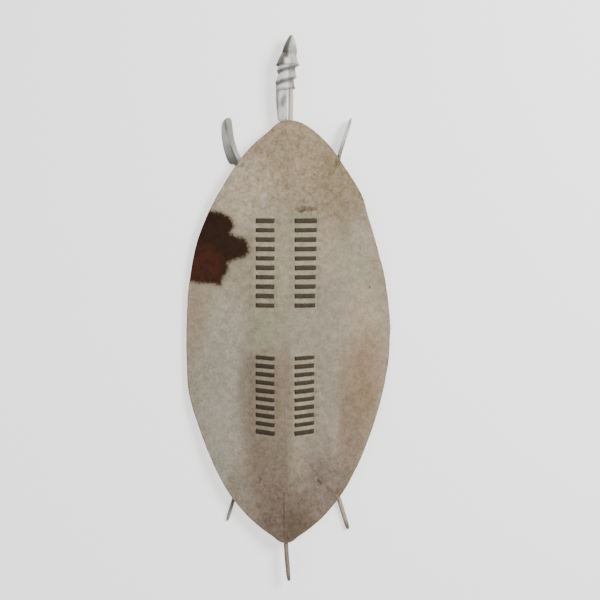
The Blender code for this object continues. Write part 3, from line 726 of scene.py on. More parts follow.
# %% [markdown]
# ## One tree that sweeps strips, sticks and thongs
#
# Strips, shafts and the lashing are all the same thing in different sizes: a section carried along a
# path. One Geometry Nodes tree does that for all of them. The paths are curves, with the local
# thickness kept as the points' radius. The tree rounds the corners, spaces the points evenly, sweeps
# the section, and pushes the surface in and out a little by noise, so no two strips are quite alike.

# %% The sweeping tree
def socket_id(tree, name):
    """What a modifier calls the tree's input of that name."""
    return next(i.identifier for i in tree.interface.items_tree if i.name == name and i.in_out == "INPUT")


def new_tree(name, inputs):
    """A node group with a geometry going through it and the named inputs."""
    tree = bpy.data.node_groups.new(name, "GeometryNodeTree")
    tree.interface.new_socket("Geometry", in_out="OUTPUT", socket_type="NodeSocketGeometry")
    tree.interface.new_socket("Geometry", in_out="INPUT", socket_type="NodeSocketGeometry")
    for label, (kind, value) in inputs.items():
        made = tree.interface.new_socket(label, in_out="INPUT", socket_type="NodeSocket" + kind)
        if value is not None:
            made.default_value = value
    return tree, tree.nodes.new("NodeGroupInput"), tree.nodes.new("NodeGroupOutput")


def add_node(tree, kind, settings=None, inputs=None):
    """A geometry node. Inputs that are sockets are linked, others are set."""
    made = tree.nodes.new(kind)
    for key, value in (settings or {}).items():
        setattr(made, key, value)
    for key, value in (inputs or {}).items():
        if isinstance(value, bpy.types.NodeSocket):
            tree.links.new(value, made.inputs[key])
        else:
            made.inputs[key].default_value = value
    return made


def named(tree, name, kind="FLOAT"):
    """The values that the points carry under a name."""
    return add_node(tree, "GeometryNodeInputNamedAttribute", {"data_type": kind}, {"Name": name}).outputs[0]


def tree_maths(tree, operation, *values):
    return add_node(tree, "ShaderNodeMath", {"operation": operation}, dict(enumerate(values))).outputs[0]


def added(tree, first, second):
    """Two vectors added."""
    return add_node(tree, "ShaderNodeVectorMath", {"operation": "ADD"}, {0: first, 1: second}).outputs[0]


def scaled(tree, vector, amount):
    """A vector made longer or shorter."""
    sockets = {0: vector, "Scale": amount}
    return add_node(tree, "ShaderNodeVectorMath", {"operation": "SCALE"}, sockets).outputs[0]


def made_real(tree, geometry, finish):
    """The end of each tree: instances become a real mesh, and the mesh gets its material."""
    real = add_node(tree, "GeometryNodeRealizeInstances", None, {"Geometry": geometry})
    sockets = {"Geometry": real.outputs[0], "Material": finish}
    return add_node(tree, "GeometryNodeSetMaterial", None, sockets).outputs[0]


def sweeping_tree():
    tree, given, result = new_tree("sweep_a_section", {
        "Width": ("Float", 0.01),
        "Thickness": ("Float", 0.002),
        "Section Corner": ("Float", 0.0006),
        "Path Corner": ("Float", 0.001),
        "Spacing": ("Float", 0.003),
        "Unevenness": ("Float", 0.0002),
        "Uneven Scale": ("Float", 120.0),
        "Finish": ("Material", None),
    })
    rounded = add_node(tree, "GeometryNodeFilletCurve", {"mode": "POLY"}, {
        "Curve": given.outputs["Geometry"], "Radius": given.outputs["Path Corner"],
        "Count": 3, "Limit Radius": True,
    })
    even = add_node(tree, "GeometryNodeResampleCurve", {"mode": "LENGTH"}, {
        "Curve": rounded.outputs[0], "Length": given.outputs["Spacing"],
    })
    flat = add_node(tree, "GeometryNodeCurvePrimitiveQuadrilateral", None, {
        "Width": given.outputs["Width"], "Height": given.outputs["Thickness"],
    })
    section = add_node(tree, "GeometryNodeFilletCurve", {"mode": "POLY"}, {
        "Curve": flat.outputs[0], "Radius": given.outputs["Section Corner"],
        "Count": 2, "Limit Radius": True,
    })
    swept = add_node(tree, "GeometryNodeCurveToMesh", None, {
        "Curve": even.outputs[0], "Profile Curve": section.outputs[0],
        "Scale": named(tree, "radius"), "Fill Caps": True,
    })
    where = add_node(tree, "GeometryNodeInputPosition")
    facing_out = add_node(tree, "GeometryNodeInputNormal")
    grain = add_node(tree, "ShaderNodeTexNoise", None, {
        "Vector": where.outputs[0], "Scale": given.outputs["Uneven Scale"], "Detail": 2.0,
    })
    centred = tree_maths(tree, "SUBTRACT", grain.outputs[0], 0.5)
    amount = tree_maths(tree, "MULTIPLY", centred, given.outputs["Unevenness"])
    moved = add_node(tree, "GeometryNodeSetPosition", None, {
        "Geometry": swept.outputs[0], "Offset": scaled(tree, facing_out.outputs[0], amount),
    })
    smooth = add_node(tree, "GeometryNodeSetShadeSmooth", None, {"Geometry": moved.outputs[0]})
    tree.links.new(made_real(tree, smooth.outputs[0], given.outputs["Finish"]), result.inputs[0])
    return tree


sweep = sweeping_tree()


def swept_piece(name, paths, finish, **sizes):
    """Sweeps one section along every path and gives the result as a plain mesh object."""
    curve = bpy.data.curves.new(name + "_paths", "CURVE")
    curve.dimensions = "3D"
    for path in paths:
        spline = curve.splines.new("POLY")
        spline.points.add(len(path) - 1)
        for point, (place, radius) in zip(spline.points, path):
            point.co, point.radius = (*place, 1.0), radius
    guide = bpy.data.objects.new(name + "_paths", curve)
    bpy.context.scene.collection.objects.link(guide)
    modifier = guide.modifiers.new("sweep", "NODES")
    modifier.node_group = sweep
    for label, value in sizes.items():
        modifier[socket_id(sweep, label.replace("_", " ").title())] = value
    modifier[socket_id(sweep, "Finish")] = finish
    bpy.context.view_layer.update()
    evaluated = guide.evaluated_get(bpy.context.evaluated_depsgraph_get())
    mesh = bpy.data.meshes.new_from_object(evaluated)
    mesh.name = name
    piece = bpy.data.objects.new(name, mesh)
    bpy.context.scene.collection.objects.link(piece)
    bpy.data.objects.remove(guide)
    face_outwards(piece)
    print(name + ":", triangles(piece), "triangles")
    return piece


def face_outwards(piece):
    """Merges the doubled points of the caps and turns every face outwards."""
    made = bmesh.new()
    made.from_mesh(piece.data)
    bmesh.ops.remove_doubles(made, verts=made.verts, dist=1e-7)
    bmesh.ops.recalc_face_normals(made, faces=made.faces)
    made.to_mesh(piece.data)
    made.free()


# %% [markdown]
# ## The lacing strips
#
# The strips are dark hide, cut narrow and pulled tight while wet, so their edges are rounded and
# they bend sharply at the slits. The path of each one is worked out as the solid's was: straight
# under the hide, up through a slit, along the front, down again, and round the back of the stick.

# %% Dark strips: their finish
def dark_strip():
    f = Finish("dark_hide_strip")
    streak = f.noise(1.0, 4, 0.65, at=f.stretched(90, 1300, 500))
    cloud = f.noise(70, 3, 0.6, four_w=3.0)
    worn = f.noise(230, 3, 0.6, four_w=9.0)
    colour = f.blend(tone(50, 42, 28), tone(74, 61, 43), f.smooth(streak, 0.36, 0.66))
    colour = f.blend(colour, tone(36, 29, 19), f.smooth(cloud, 0.5, 0.75) * 0.6)
    darker = f.spot(*at_photo(265, 395), 12 * PIXEL, 50 * PIXEL, 0.4)
    colour = f.blend(colour, tone(34, 27, 17), darker * 0.55)
    colour = f.blend(colour, tone(112, 98, 76), f.smooth(worn, 0.60, 0.75) * 0.40)
    return f.finish(colour, 0.6 + worn * 0.2, streak * 0.6 + worn * 0.4, 0.0008, specular_ior_level=0.3)


# %% Paths of the strips
STRIP_WIDTH, STRIP_THICKNESS, STRIP_GAP, STRIP_TAIL = 0.0100, 0.0020, 0.0001, 0.020


def touch_angle(x, z, centre_x, radius, side):
    """Where round the stick a straight strip from (x, z) first touches it."""
    away = math.hypot(x - centre_x, z - STICK_Z)
    return math.atan2(z - STICK_Z, x - centre_x) + side * math.acos(min(1.0, radius / away))


def strip_path(rung):
    y, half = rung.y, STRIP_THICKNESS / 2
    lift = HIDE_THICKNESS / 2 + STRIP_GAP + half
    radius, centre_x = STICK_RADIUS + STRIP_GAP + half, stick_x(y)

    def over(x):
        return (x, hide_z(x, y) + lift)

    def under(x):
        return (x, hide_z(x, y) - lift - 0.0002)

    left, right = under(rung.left_inner), under(rung.right_inner)
    start = touch_angle(*left, centre_x, radius, 1) % math.tau
    end = touch_angle(*right, centre_x, radius, -1) % math.tau
    wrap = [start + (end - start) * k / 6 for k in range(7)]
    flat = [
        under(rung.left_outer - STRIP_TAIL),
        under(rung.left_outer - STRIP_TAIL / 2),
        under(rung.left_outer),
        over(rung.left_outer),
        over((rung.left_outer + rung.left_inner) / 2),
        over(rung.left_inner),
        left,
        *((centre_x + radius * math.cos(a), STICK_Z + radius * math.sin(a)) for a in wrap),
        right,
        over(rung.right_inner),
        over((rung.right_inner + rung.right_outer) / 2),
        over(rung.right_outer),
        under(rung.right_outer),
        under(rung.right_outer + STRIP_TAIL / 2),
        under(rung.right_outer + STRIP_TAIL),
    ]
    return [((x, y - rung.drop(x), z), rung.width / STRIP_WIDTH) for x, z in flat]


strips = swept_piece(
    "lacing_strips",
    [strip_path(rung) for rung in rungs],
    dark_strip(),
    width=STRIP_WIDTH,
    thickness=STRIP_THICKNESS,
    section_corner=0.0007,
    path_corner=0.0016,
    spacing=0.0026,
    unevenness=0.0005,
    uneven_scale=150.0,
)
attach(strips, "root")
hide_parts(*strip_nodes)

# %% [markdown]
# ## The stick and the spear shafts
#
# All three are round wood, whittled and not turned: nearly straight, with long flats, small knots
# and a grain that runs along them. The rules for their paths and thickness are those of the solids,
# with knots and a slight wander added, and the sweeping tree gives them more sides and dents. Their
# flanks are darker than their crowns: painted shade on the sides that turn from the light.

# %% Wood finishes
def peeled_wood(name, pale, dark, zones, side_shade):
    """Each zone is where its colour starts along the shield, where it is full, the colour and a strength."""
    f = Finish(name)
    grain = f.noise(1.0, 4, 0.65, at=f.stretched(700, 26, 700), distortion=0.4)
    cloud = f.noise(14, 4, 0.6, four_w=4.0)
    crack = f.noise(1.0, 2, 0.5, at=f.stretched(420, 9, 420))
    colour = f.blend(dark, pale, f.smooth(grain * 0.6 + cloud * 0.4, 0.36, 0.62))
    for start, full, stained, strength in zones:
        share = f.smooth(f.y + (cloud - 0.5) * 0.01, min(start, full), max(start, full))
        colour = f.blend(colour, stained, (share if full > start else 1.0 - share) * strength)
    lines = 1.0 - f.smooth(f.maths("ABSOLUTE", crack - 0.5), 0.0, 0.018)
    colour = f.blend(colour, tone(70, 58, 46), lines * 0.5)
    # Painted shade: the flanks that face sideways are darkened.
    facing = f.node("TexCoord", outputs=("Normal",))
    facing_x = f.node("SeparateXYZ", inputs={0: facing})
    flank = f.smooth(f.maths("ABSOLUTE", facing_x) + (grain - 0.5) * 0.3, 0.45, 0.95)
    colour = f.blend(colour, tone(66, 57, 46), flank * side_shade)
    return f.finish(colour, 0.55 + cloud * 0.2, grain, 0.0007)

# %% The stick
STICK_DIAMETER, FOOT_DIAMETER, STICK_KNOTS = 0.0115, 0.0105, (-0.607, 0.498, 0.29, -0.42)


def stick_path():
    """From the foot up to a place inside the fur, thinner at the foot and thicker at each knot."""
    top, foot, steps = TIP_Y - 0.030, -TIP_Y, 90
    made = []
    for i in range(steps + 1):
        y = foot + (top - foot) * i / steps
        diameter = FOOT_DIAMETER + (STICK_DIAMETER - FOOT_DIAMETER) * soft_step(i / steps * 8)
        thick = diameter / STICK_DIAMETER
        knot = sum(0.07 * math.exp(-(((y - at) / 0.006) ** 2)) for at in STICK_KNOTS)
        wander = 0.0005 * noise.noise(Vector((0, y * 9, 4.0)))
        rounded = 1 - 0.35 * clamp(1 - (y - foot) / 0.004) ** 2
        made.append(((stick_x(y) + wander, y, STICK_Z), thick * (1 + knot) * rounded))
    return made


stick_wood = peeled_wood(
    "peeled_stick",
    tone(144, 130, 113),
    tone(100, 88, 73),
    (
        (0.400, 0.445, tone(208, 200, 184), 0.9),
        (-0.535, -0.560, tone(126, 114, 98), 0.85),
        (-0.628, -0.645, tone(78, 70, 60), 0.8),
    ),
    side_shade=0.55,
)
stick = swept_piece(
    "peeled_stick",
    [stick_path()],
    stick_wood,
    width=0.0113,
    thickness=0.0113,
    section_corner=0.0050,
    path_corner=0.0,
    spacing=0.0050,
    unevenness=0.0005,
    uneven_scale=70.0,
)
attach(stick, "root")
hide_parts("stick")

# %% Spears: one rule for both
SHAFT_DIAMETER, SHAFT_AT_BLADE = 0.0092, 0.0078
SOCKET_DEPTH, SHAFT_IN_SOCKET, BUTT_ROUNDING = 0.034, 0.022, 0.003


class Spear:
    """Where a spear runs, measured from where it crosses the stick, towards its blade."""

    def __init__(self, angle, root, blade, butt, crossing_z):
        self.angle, self.root, self.crossing_z = math.radians(angle), root, crossing_z
        self.blade_length, self.blade_width, self.bow, roll, cant = blade
        self.roll, self.cant = math.radians(roll), math.radians(cant)
        self.butt_reach, self.butt_diameter, self.kick = butt
        self.blade_z = self.resting_height()

    def place(self, along):
        """The shaft's middle. From the crossing it runs to its blade's height, and to the floor at its butt."""
        if along > 0:
            share = along / (self.root - SOCKET_DEPTH)
            z = self.crossing_z + (self.blade_z - self.crossing_z) * soft_step(share)
            aside = 0.0
        else:
            share = -along / self.butt_reach
            z = self.crossing_z + (self.butt_diameter / 2 - self.crossing_z) * soft_step(share)
            aside = self.kick * soft_step(share)
        forward = Vector((-math.sin(self.angle), math.cos(self.angle), 0))
        outward = Vector((forward.y, -forward.x, 0)) * (1 if self.angle > 0 else -1)
        return Vector((0, CROSSING_Y, z)) + forward * along + outward * aside

    def radius(self, along):
        """Thinner towards the blade, its own size at the butt, and uneven all along."""
        taper = clamp(along / (self.root - SOCKET_DEPTH))
        from_end = along + self.butt_reach
        butt = soft_step(1 - (from_end - 0.055) / 0.060)
        diameter = SHAFT_DIAMETER + (SHAFT_AT_BLADE - SHAFT_DIAMETER) * taper
        diameter += (self.butt_diameter - SHAFT_DIAMETER) * butt
        slim = 1 - 0.45 * clamp(1 - from_end / 0.018) ** 2
        tip = math.sqrt(max(0.03, 1 - clamp(1 - from_end / BUTT_ROUNDING) ** 2))
        knots = 0.06 * noise.noise(Vector((along * 34, self.angle * 20, 1.0)))
        return diameter / 2 * (slim * tip + knots)

    def frame(self, cant=0.0):
        """The blade's own axes: its root at the origin, +Y towards its point, and turned on its side."""
        turned = Matrix.Rotation(self.angle + cant, 4, "Z") @ Matrix.Rotation(self.roll, 4, "Y")
        return Matrix.Translation(self.place(self.root)) @ turned

    def blade_half_width(self, from_root):
        """Round shoulders at the root, nearly even along the leaf, and a blunt round point."""
        shoulder = 1 - clamp(1 - from_root / 0.016) ** 2.6
        share = clamp(from_root / self.blade_length)
        return self.blade_width / 2 * math.sqrt(shoulder) * (1 - 0.2 * share) * math.sqrt(1 - share**14)

    def blade_aside(self, from_root):
        """How far the leaf bows to one side."""
        share = clamp(from_root / self.blade_length)
        return self.bow * 4 * share * (1 - share)

    def resting_height(self):
        """How high the blade's middle lies when its lower edge touches the floor."""
        stations = [self.blade_length * k / 24 for k in range(25)]
        lower_side = math.copysign(1, self.roll)
        reaches = [self.blade_half_width(s) + lower_side * self.blade_aside(s) for s in stations]
        return max(reaches) * abs(math.sin(self.roll))

    def shaft_path(self):
        """From the butt to the end inside the socket, with its points closest at the butt."""
        start, end = -self.butt_reach, self.root - SOCKET_DEPTH + SHAFT_IN_SOCKET
        stations = [start + BUTT_ROUNDING * (1 - math.cos(math.pi / 2 * k / 5)) for k in range(5)]
        straight = end - start - BUTT_ROUNDING
        stations += [start + BUTT_ROUNDING + straight * (k / 110) ** 1.15 for k in range(111)]
        return [(tuple(self.place(s)), self.radius(s) / (SHAFT_DIAMETER / 2)) for s in stations]


# Each has its angle, its reach to the blade's root, the blade's length, width, bow, roll and cant, the
# butt's reach, diameter and kick to the side, and the height at which it crosses the stick.
left_spear = Spear(17.37, 0.4074, (0.1143, 0.036, -0.0097, -22.0, -5.6), (0.5000, 0.0108, -0.0067), 0.0169)
right_spear = Spear(-16.43, 0.4243, (0.0966, 0.033, -0.0010, 72.0, -1.4), (0.4826, 0.0082, 0.0103), 0.0074)
for side, spear in (("left", left_spear), ("right", right_spear)):
    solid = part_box(f"spear_shaft_{side}")
    print(side, "butt, solid and here:", round(solid[0].y, 4), round(spear.place(-spear.butt_reach).y, 4))

# %% Shafts
FLOOR_GAP = 0.0001


def keep_above_floor(piece):
    """The knots and dents may not dip into what the shield lies on."""
    places = point_array(piece)
    places[:, 2] = np.maximum(places[:, 2], FLOOR_GAP)
    piece.data.vertices.foreach_set("co", places.ravel())
    piece.data.update()


tan_wood = peeled_wood(
    "tan_shaft",
    tone(176, 158, 136),
    tone(142, 123, 102),
    ((-0.500, -0.524, tone(84, 77, 66), 0.85),),
    side_shade=0.5,
)
dark_wood = peeled_wood(
    "dark_shaft",
    tone(142, 141, 128),
    tone(112, 110, 98),
    ((-0.475, -0.460, tone(78, 74, 62), 0.8),),
    side_shade=0.5,
)
for side, spear, wood, slot in (
    ("left", left_spear, tan_wood, "shaft_wood"),
    ("right", right_spear, dark_wood, "dark_shaft_wood"),
):
    shaft = swept_piece(
        f"shaft_{side}",
        [spear.shaft_path()],
        wood,
        width=SHAFT_DIAMETER,
        thickness=SHAFT_DIAMETER,
        section_corner=0.0042,
        path_corner=0.0,
        spacing=0.0050,
        unevenness=0.0004,
        uneven_scale=80.0,
    )
    keep_above_floor(shaft)
    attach(shaft, "root")
    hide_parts(f"spear_shaft_{side}")

# %% [markdown]
# ## The spear blades
#
# The blades are hand-forged leaves, drawn out with a low rib and a socket that takes the shaft. The
# rib starts right of the middle at the root and hooks over to the left near the point. The steel is
# dull grey, with painted shade in a streak beside the rib and on the left flank near the root, and a
# painted highlight right of the rib. The rings of the solid are made again with more points along and
# across, and dented by noise. One rule says where the rib runs: it takes a number for the shape and a
# socket for the steel, which is what the operators are for.

# %% Steel
RIB_AT_ROOT, RIB_LEAN, RIB_HOOK = 0.40, 0.12, 0.78


def rib_across(along):
    """Where the rib runs, from -1 at the left edge to 1 at the right one."""
    return RIB_AT_ROOT - along * RIB_LEAN - along**4.0 * RIB_HOOK


def forged_steel():
    f = Finish("hammered_steel")
    scale = f.noise(60, 5, 0.6, four_w=1.0)
    scratch = f.noise(1.0, 3, 0.6, at=f.stretched(1200, 60, 1200))
    along = f.attribute("along_blade")
    from_rib = f.attribute("across_blade") - rib_across(along)
    # Painted shade: the face left of the rib is darkened near the root.
    left = 1.0 - f.smooth(from_rib, -0.30, 0.10)
    low = 1.0 - f.smooth(along + (scale - 0.5) * 0.2, 0.05, 0.60)
    dull = f.smooth(scale * 0.5 + scratch * 0.5, 0.40, 0.62)
    colour = f.blend(tone(162, 161, 155), tone(190, 189, 183), dull)
    colour = f.blend(colour, tone(92, 93, 85), left * low * 0.90)
    # Painted highlight: the face right of the rib is lightened near the root.
    bright = f.smooth(from_rib, 0.00, 0.14) * low * f.smooth(along, 0.04, 0.14)
    colour = f.blend(colour, tone(222, 218, 214), bright * 0.85)
    # Painted shadow of the rib: a dark streak beside it, strongest towards the socket and at the point.
    at_ends = 1.0 - f.smooth(along, 0.30, 0.50) * (1.0 - f.smooth(along, 0.66, 0.80))
    rib_shadow = 1.0 - f.smooth(f.maths("ABSOLUTE", from_rib + 0.10), 0.02, 0.26)
    colour = f.blend(colour, tone(92, 91, 78), rib_shadow * (0.20 + at_ends * 0.65))
    colour = f.blend(colour, tone(104, 92, 74), f.smooth(scale, 0.62, 0.80) * 0.35)
    return f.finish(colour, 0.50 + scratch * 0.12, scale * 0.5 + scratch * 0.5, 0.0006, metallic=0.55)

# %% Blades
BLADE_HALF_THICKNESS, SOCKET_PLAY, SOCKET_WALL = 0.0025, 0.0006, 0.0014


def blade_section(turn, half, thick, rib):
    """A point of the leaf's section: thin at both edges, with a low ridge where the rib runs."""
    across = math.cos(turn)
    reach = (1 - rib) if across > rib else (1 + rib)
    slope = 1 - abs(across - rib) / reach
    height = 0.70 * slope + 0.30 * math.exp(-(((across - rib) / 0.14) ** 2)) * slope
    return half * across, math.copysign(thick * height, math.sin(turn))


def make_blade(name, spear, steel):
    """Rings from the point down over the leaf, along the socket and into its bore."""
    sides, bore = 56, SHAFT_AT_BLADE / 2 + SOCKET_PLAY
    neck = bore + SOCKET_WALL
    turns = [math.tau * (k + 0.5) / sides for k in range(sides)]
    rings, marks = [], []

    def add(points, cant, along):
        rings.append([spear.frame(cant) @ Vector(p) for p in points])
        marks.extend((along, math.cos(t)) for t in turns)

    steps = 52
    for i in range(steps + 1):
        from_root = 0.0014 + (spear.blade_length - 0.0014) * (1 + math.cos(math.pi * i / steps)) / 2
        share = from_root / spear.blade_length
        half = max(0.0004, spear.blade_half_width(from_root))
        thick = BLADE_HALF_THICKNESS * (0.6 + 0.4 * (1 - share)) * min(1.0, 0.2 + i / 3)
        neck_share = soft_step(1 - from_root / 0.006)
        ring = []
        for t in turns:
            x, z = blade_section(t, half, thick, rib_across(share))
            x += (neck * math.cos(t) - x) * neck_share
            z += (neck * math.sin(t) - z) * neck_share
            dent = 0.00025 * noise.noise(Vector((x * 110, from_root * 80, z * 40 + spear.angle * 30)))
            thin = 1 - abs(math.cos(t))
            ring.append((spear.blade_aside(from_root) + x, from_root, z + math.copysign(dent, z) * thin))
        add(ring, spear.cant * (1 - soft_step(1 - from_root / 0.010) * 0.5), share)
    socket = (
        (-0.004, neck), (-0.018, neck * 0.99), (-0.033, neck), (-SOCKET_DEPTH, neck * 0.96),
        (-SOCKET_DEPTH, bore), (-0.0114, bore),
    )
    for from_root, radius in socket:
        add([(radius * math.cos(t), from_root, radius * math.sin(t)) for t in turns], 0.0, 0.0)
    made = bmesh.new()
    along_layer = made.verts.layers.float.new("along_blade")
    across_layer = made.verts.layers.float.new("across_blade")
    verts = []
    for r, ring in enumerate(rings):
        verts.append([made.verts.new(p) for p in ring])
        for v, (along, across) in zip(verts[-1], marks[r * sides:]):
            v[along_layer], v[across_layer] = along, across
    for a, b in zip(verts, verts[1:]):
        for k in range(sides):
            made.faces.new((a[k], a[(k + 1) % sides], b[(k + 1) % sides], b[k]))
    for row in (verts[0], verts[-1]):
        centre = made.verts.new(sum((v.co for v in row), Vector()) / sides)
        centre[along_layer] = row[0][along_layer]
        for k in range(sides):
            made.faces.new((row[k], row[(k + 1) % sides], centre))
    bmesh.ops.recalc_face_normals(made, faces=made.faces)
    blade = to_object(made, name)
    blade.data.materials.append(steel)
    keep_above_floor(blade)
    print(name + ":", triangles(blade), "triangles")
    return blade


steel = forged_steel()
for side, spear in (("left", left_spear), ("right", right_spear)):
    blade = make_blade(f"blade_{side}", spear, steel)
    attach(blade, "root")
    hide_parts(f"spear_blade_{side}")

# %% [markdown]
# ## The lashing
#
# A rawhide thong holds the spears to the stick where they cross. The solid is one plain band. A
# real lashing is a thong wound round several times, side by side, with its end tucked under, so here
# one path winds round the same rounded box as the band, and the sweeping tree gives it its section.

# %% Thong
def thong_finish():
    f = Finish("rawhide_thong")
    twist = f.noise(1.0, 3, 0.6, at=f.stretched(500, 500, 500), distortion=1.0)
    cloud = f.noise(60, 3, 0.6)
    colour = f.blend(tone(92, 72, 50), tone(138, 114, 84), f.smooth(twist, 0.35, 0.7))
    colour = f.blend(colour, tone(64, 49, 36), f.smooth(cloud, 0.5, 0.8) * 0.6)
    return f.finish(colour, 0.62, twist, 0.0005)


def lashing_path():
    low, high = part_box("lashing")
    half_x, half_y = (high.x - low.x) / 2, (high.y - low.y) / 2
    mid = (low + high) / 2
    thong, turns, steps = 0.0020, 6, 40
    radius_x, radius_z = half_x - thong / 2, (high.z - low.z) / 2 - thong / 2
    made = []
    for i in range(turns * steps + 1):
        angle = math.tau * i / steps
        c, s = math.cos(angle), math.sin(angle)
        squarish = (abs(c) ** 4 + abs(s) ** 4) ** -0.25
        y = mid.y - half_y + thong / 2 + (2 * half_y - thong) * i / (turns * steps)
        made.append(((mid.x + radius_x * c * squarish, y, mid.z + radius_z * s * squarish), 1.0))
    return made


lashing = swept_piece(
    "thong_lashing",
    [lashing_path()],
    thong_finish(),
    width=0.0021,
    thickness=0.0020,
    section_corner=0.0009,
    path_corner=0.0,
    spacing=0.0022,
    unevenness=0.0003,
    uneven_scale=300.0,
)
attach(lashing, "root")
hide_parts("lashing")

# %% [markdown]
# ## The fur head
#
# A strip of skin with long pale fur is wound down the stick in flared turns, so each turn overhangs
# the next, and the strip's end hangs loose beside the stick. It could be one bumpy lump with a fur
# texture, but fur is read by its outline. So the wound part and the loose end each have a soft body,
# and thousands of slim locks that a Geometry Nodes tree sows over it, combed downwards.

# %% Body of the fur
HEAD_LENGTH, BUD_LENGTH, WRAP_PITCH = 0.0718, 0.044, 0.0275
WRAP_LENGTH = HEAD_LENGTH + 2 * WRAP_PITCH
BUD_RADIUS, SKIRT_RADIUS, SKIRT_LEAN = 0.0185, 0.0295, 0.4
TURN_RADIUS, HEM_RADIUS = 0.0190, 0.0265
FUR_FLATNESS, FUR_LEAN, FUR_INSET, NECK_RADIUS = 0.84, 0.0142, 0.0022, 0.0062
TONGUE_LENGTH, TONGUE_OVERLAP, TONGUE_WIDTH, TONGUE_THICKNESS = 0.081, 0.014, 0.0277, 0.0052


def turn_share(down, share):
    """How far a point is from the hem above it, at 0, to the hem of its own turn, at 1.

    share goes once round the stick from the back, over the right first. Its power lets the hems run
    nearly level over the right and drop at the left, as the strip does where it is pulled tight.
    """
    if down <= HEAD_LENGTH:
        return down / HEAD_LENGTH
    return ((down - HEAD_LENGTH) / WRAP_PITCH - share**2.2) % 1.0


def wrap_radius(down, share):
    """A round bud at the tip, its flared skirt, and then the turns, each wider at its hem."""
    if down <= HEAD_LENGTH:
        bud = BUD_RADIUS * (1 - (1 - clamp(down / BUD_LENGTH)) ** 2) ** 0.65
        hem = clamp((down - BUD_LENGTH) / (HEAD_LENGTH - BUD_LENGTH))
        flare = hem ** (1.1 + SKIRT_LEAN * math.sin(math.tau * share))
        return bud + (SKIRT_RADIUS - BUD_RADIUS) * flare
    return TURN_RADIUS + (HEM_RADIUS - TURN_RADIUS) * turn_share(down, share) ** 1.5


def wrap_centre(down):
    """The fur is thicker at the left of the stick, the more so the lower down."""
    return stick_x(TIP_Y - down) - FUR_LEAN * down / WRAP_LENGTH


def share_round(x, y, z):
    """How far round the stick a point lies, as a share of a turn from the back over the right."""
    angle = math.atan2((z - STICK_Z) / FUR_FLATNESS, x - wrap_centre(TIP_Y - y))
    return (angle / math.tau + 0.25) % 1.0


def fur_body():
    """The wound strip as a closed skin, a little inside the solid so that the locks have room."""
    made, steps, sides = [], 128, 72
    for i in range(steps + 1):
        down = WRAP_LENGTH * i / steps
        y = TIP_Y - down
        ring = []
        for k in range(sides):
            share = k / sides
            angle = math.tau * share - math.pi / 2
            radius = wrap_radius(min(down, WRAP_LENGTH - 1e-6), share) - FUR_INSET * clamp(down / 0.010)
            radius = max(0.0008, radius)
            ring.append((
                wrap_centre(down) + radius * math.cos(angle),
                y - (0.0005 if i == 0 else 0),
                STICK_Z + radius * FUR_FLATNESS * math.sin(angle),
            ))
        made.append(ring)
    neck, y = [], TIP_Y - WRAP_LENGTH + 0.010
    for k in range(sides):
        angle = math.tau * k / sides - math.pi / 2
        neck.append((stick_x(y) + NECK_RADIUS * math.cos(angle), y, STICK_Z + NECK_RADIUS * math.sin(angle)))
    made.append(neck)
    return skin_over(made)


def fur_tongue():
    """The strip's loose end, hanging down beside the stick."""
    made, sections, sides = [], 44, 24
    top = TIP_Y - WRAP_LENGTH + TONGUE_OVERLAP
    length = TONGUE_LENGTH + TONGUE_OVERLAP
    for i in range(sections + 1):
        share = i / sections
        y = top - length * share
        width = TONGUE_WIDTH * (1 - 0.2 * share**2) * (1 - 0.35 * soft_step((share - 0.93) / 0.07))
        thick = TONGUE_THICKNESS * (1 - 0.5 * share**3)
        middle = stick_x(y) - STICK_RADIUS - 0.0014 - width / 2 - 0.0012 * math.sin(share * math.pi)
        height = STICK_Z + 0.001 * math.sin(share * 4)
        turns = [math.tau * k / sides for k in range(sides)]
        made.append([(middle + width / 2 * math.cos(t), y, height + thick / 2 * math.sin(t)) for t in turns])
    return skin_over(made)


hems = [round(HEAD_LENGTH + WRAP_PITCH * n, 4) for n in range(3)]
print("fur:", round(WRAP_LENGTH, 4), "long, hems at", hems)

# %% [markdown]
# The tree below sows points over the body, sets a lock on each, and turns it so that it lies along
# the skin and points down the stick. A lock is a slim three-sided blade of ten faces, because there
# are thousands. The points of the body say which way a lock is combed, how long it grows and how much
# shade is painted on it. Seeds are fixed, so every run grows the same fur.

# %% One lock and the sowing tree
def lock_mesh():
    """A lock one unit long on +Z, three-sided, bent a little and drawn to a point."""
    made = bmesh.new()
    tipward = made.verts.layers.float.new("tipward")
    rings = []
    for height, width in ((0.0, 0.75), (0.35, 1.0), (0.7, 0.66)):
        bend = 0.10 * height**2
        ring = []
        for k in range(3):
            c, s = math.cos(math.tau * k / 3), math.sin(math.tau * k / 3)
            ring.append(made.verts.new((0.055 * width * c + bend, 0.055 * width * s, height)))
            ring[-1][tipward] = height
        rings.append(ring)
    tip = made.verts.new((0.16, 0, 1.0))
    tip[tipward] = 1.0
    for a, b in zip(rings, rings[1:]):
        for k in range(3):
            made.faces.new((a[k], a[(k + 1) % 3], b[(k + 1) % 3], b[k]))
    for k in range(3):
        made.faces.new((rings[-1][k], rings[-1][(k + 1) % 3], tip))
    made.faces.new(reversed(rings[0]))
    bmesh.ops.recalc_face_normals(made, faces=made.faces)
    return to_object(made, "lock_model")


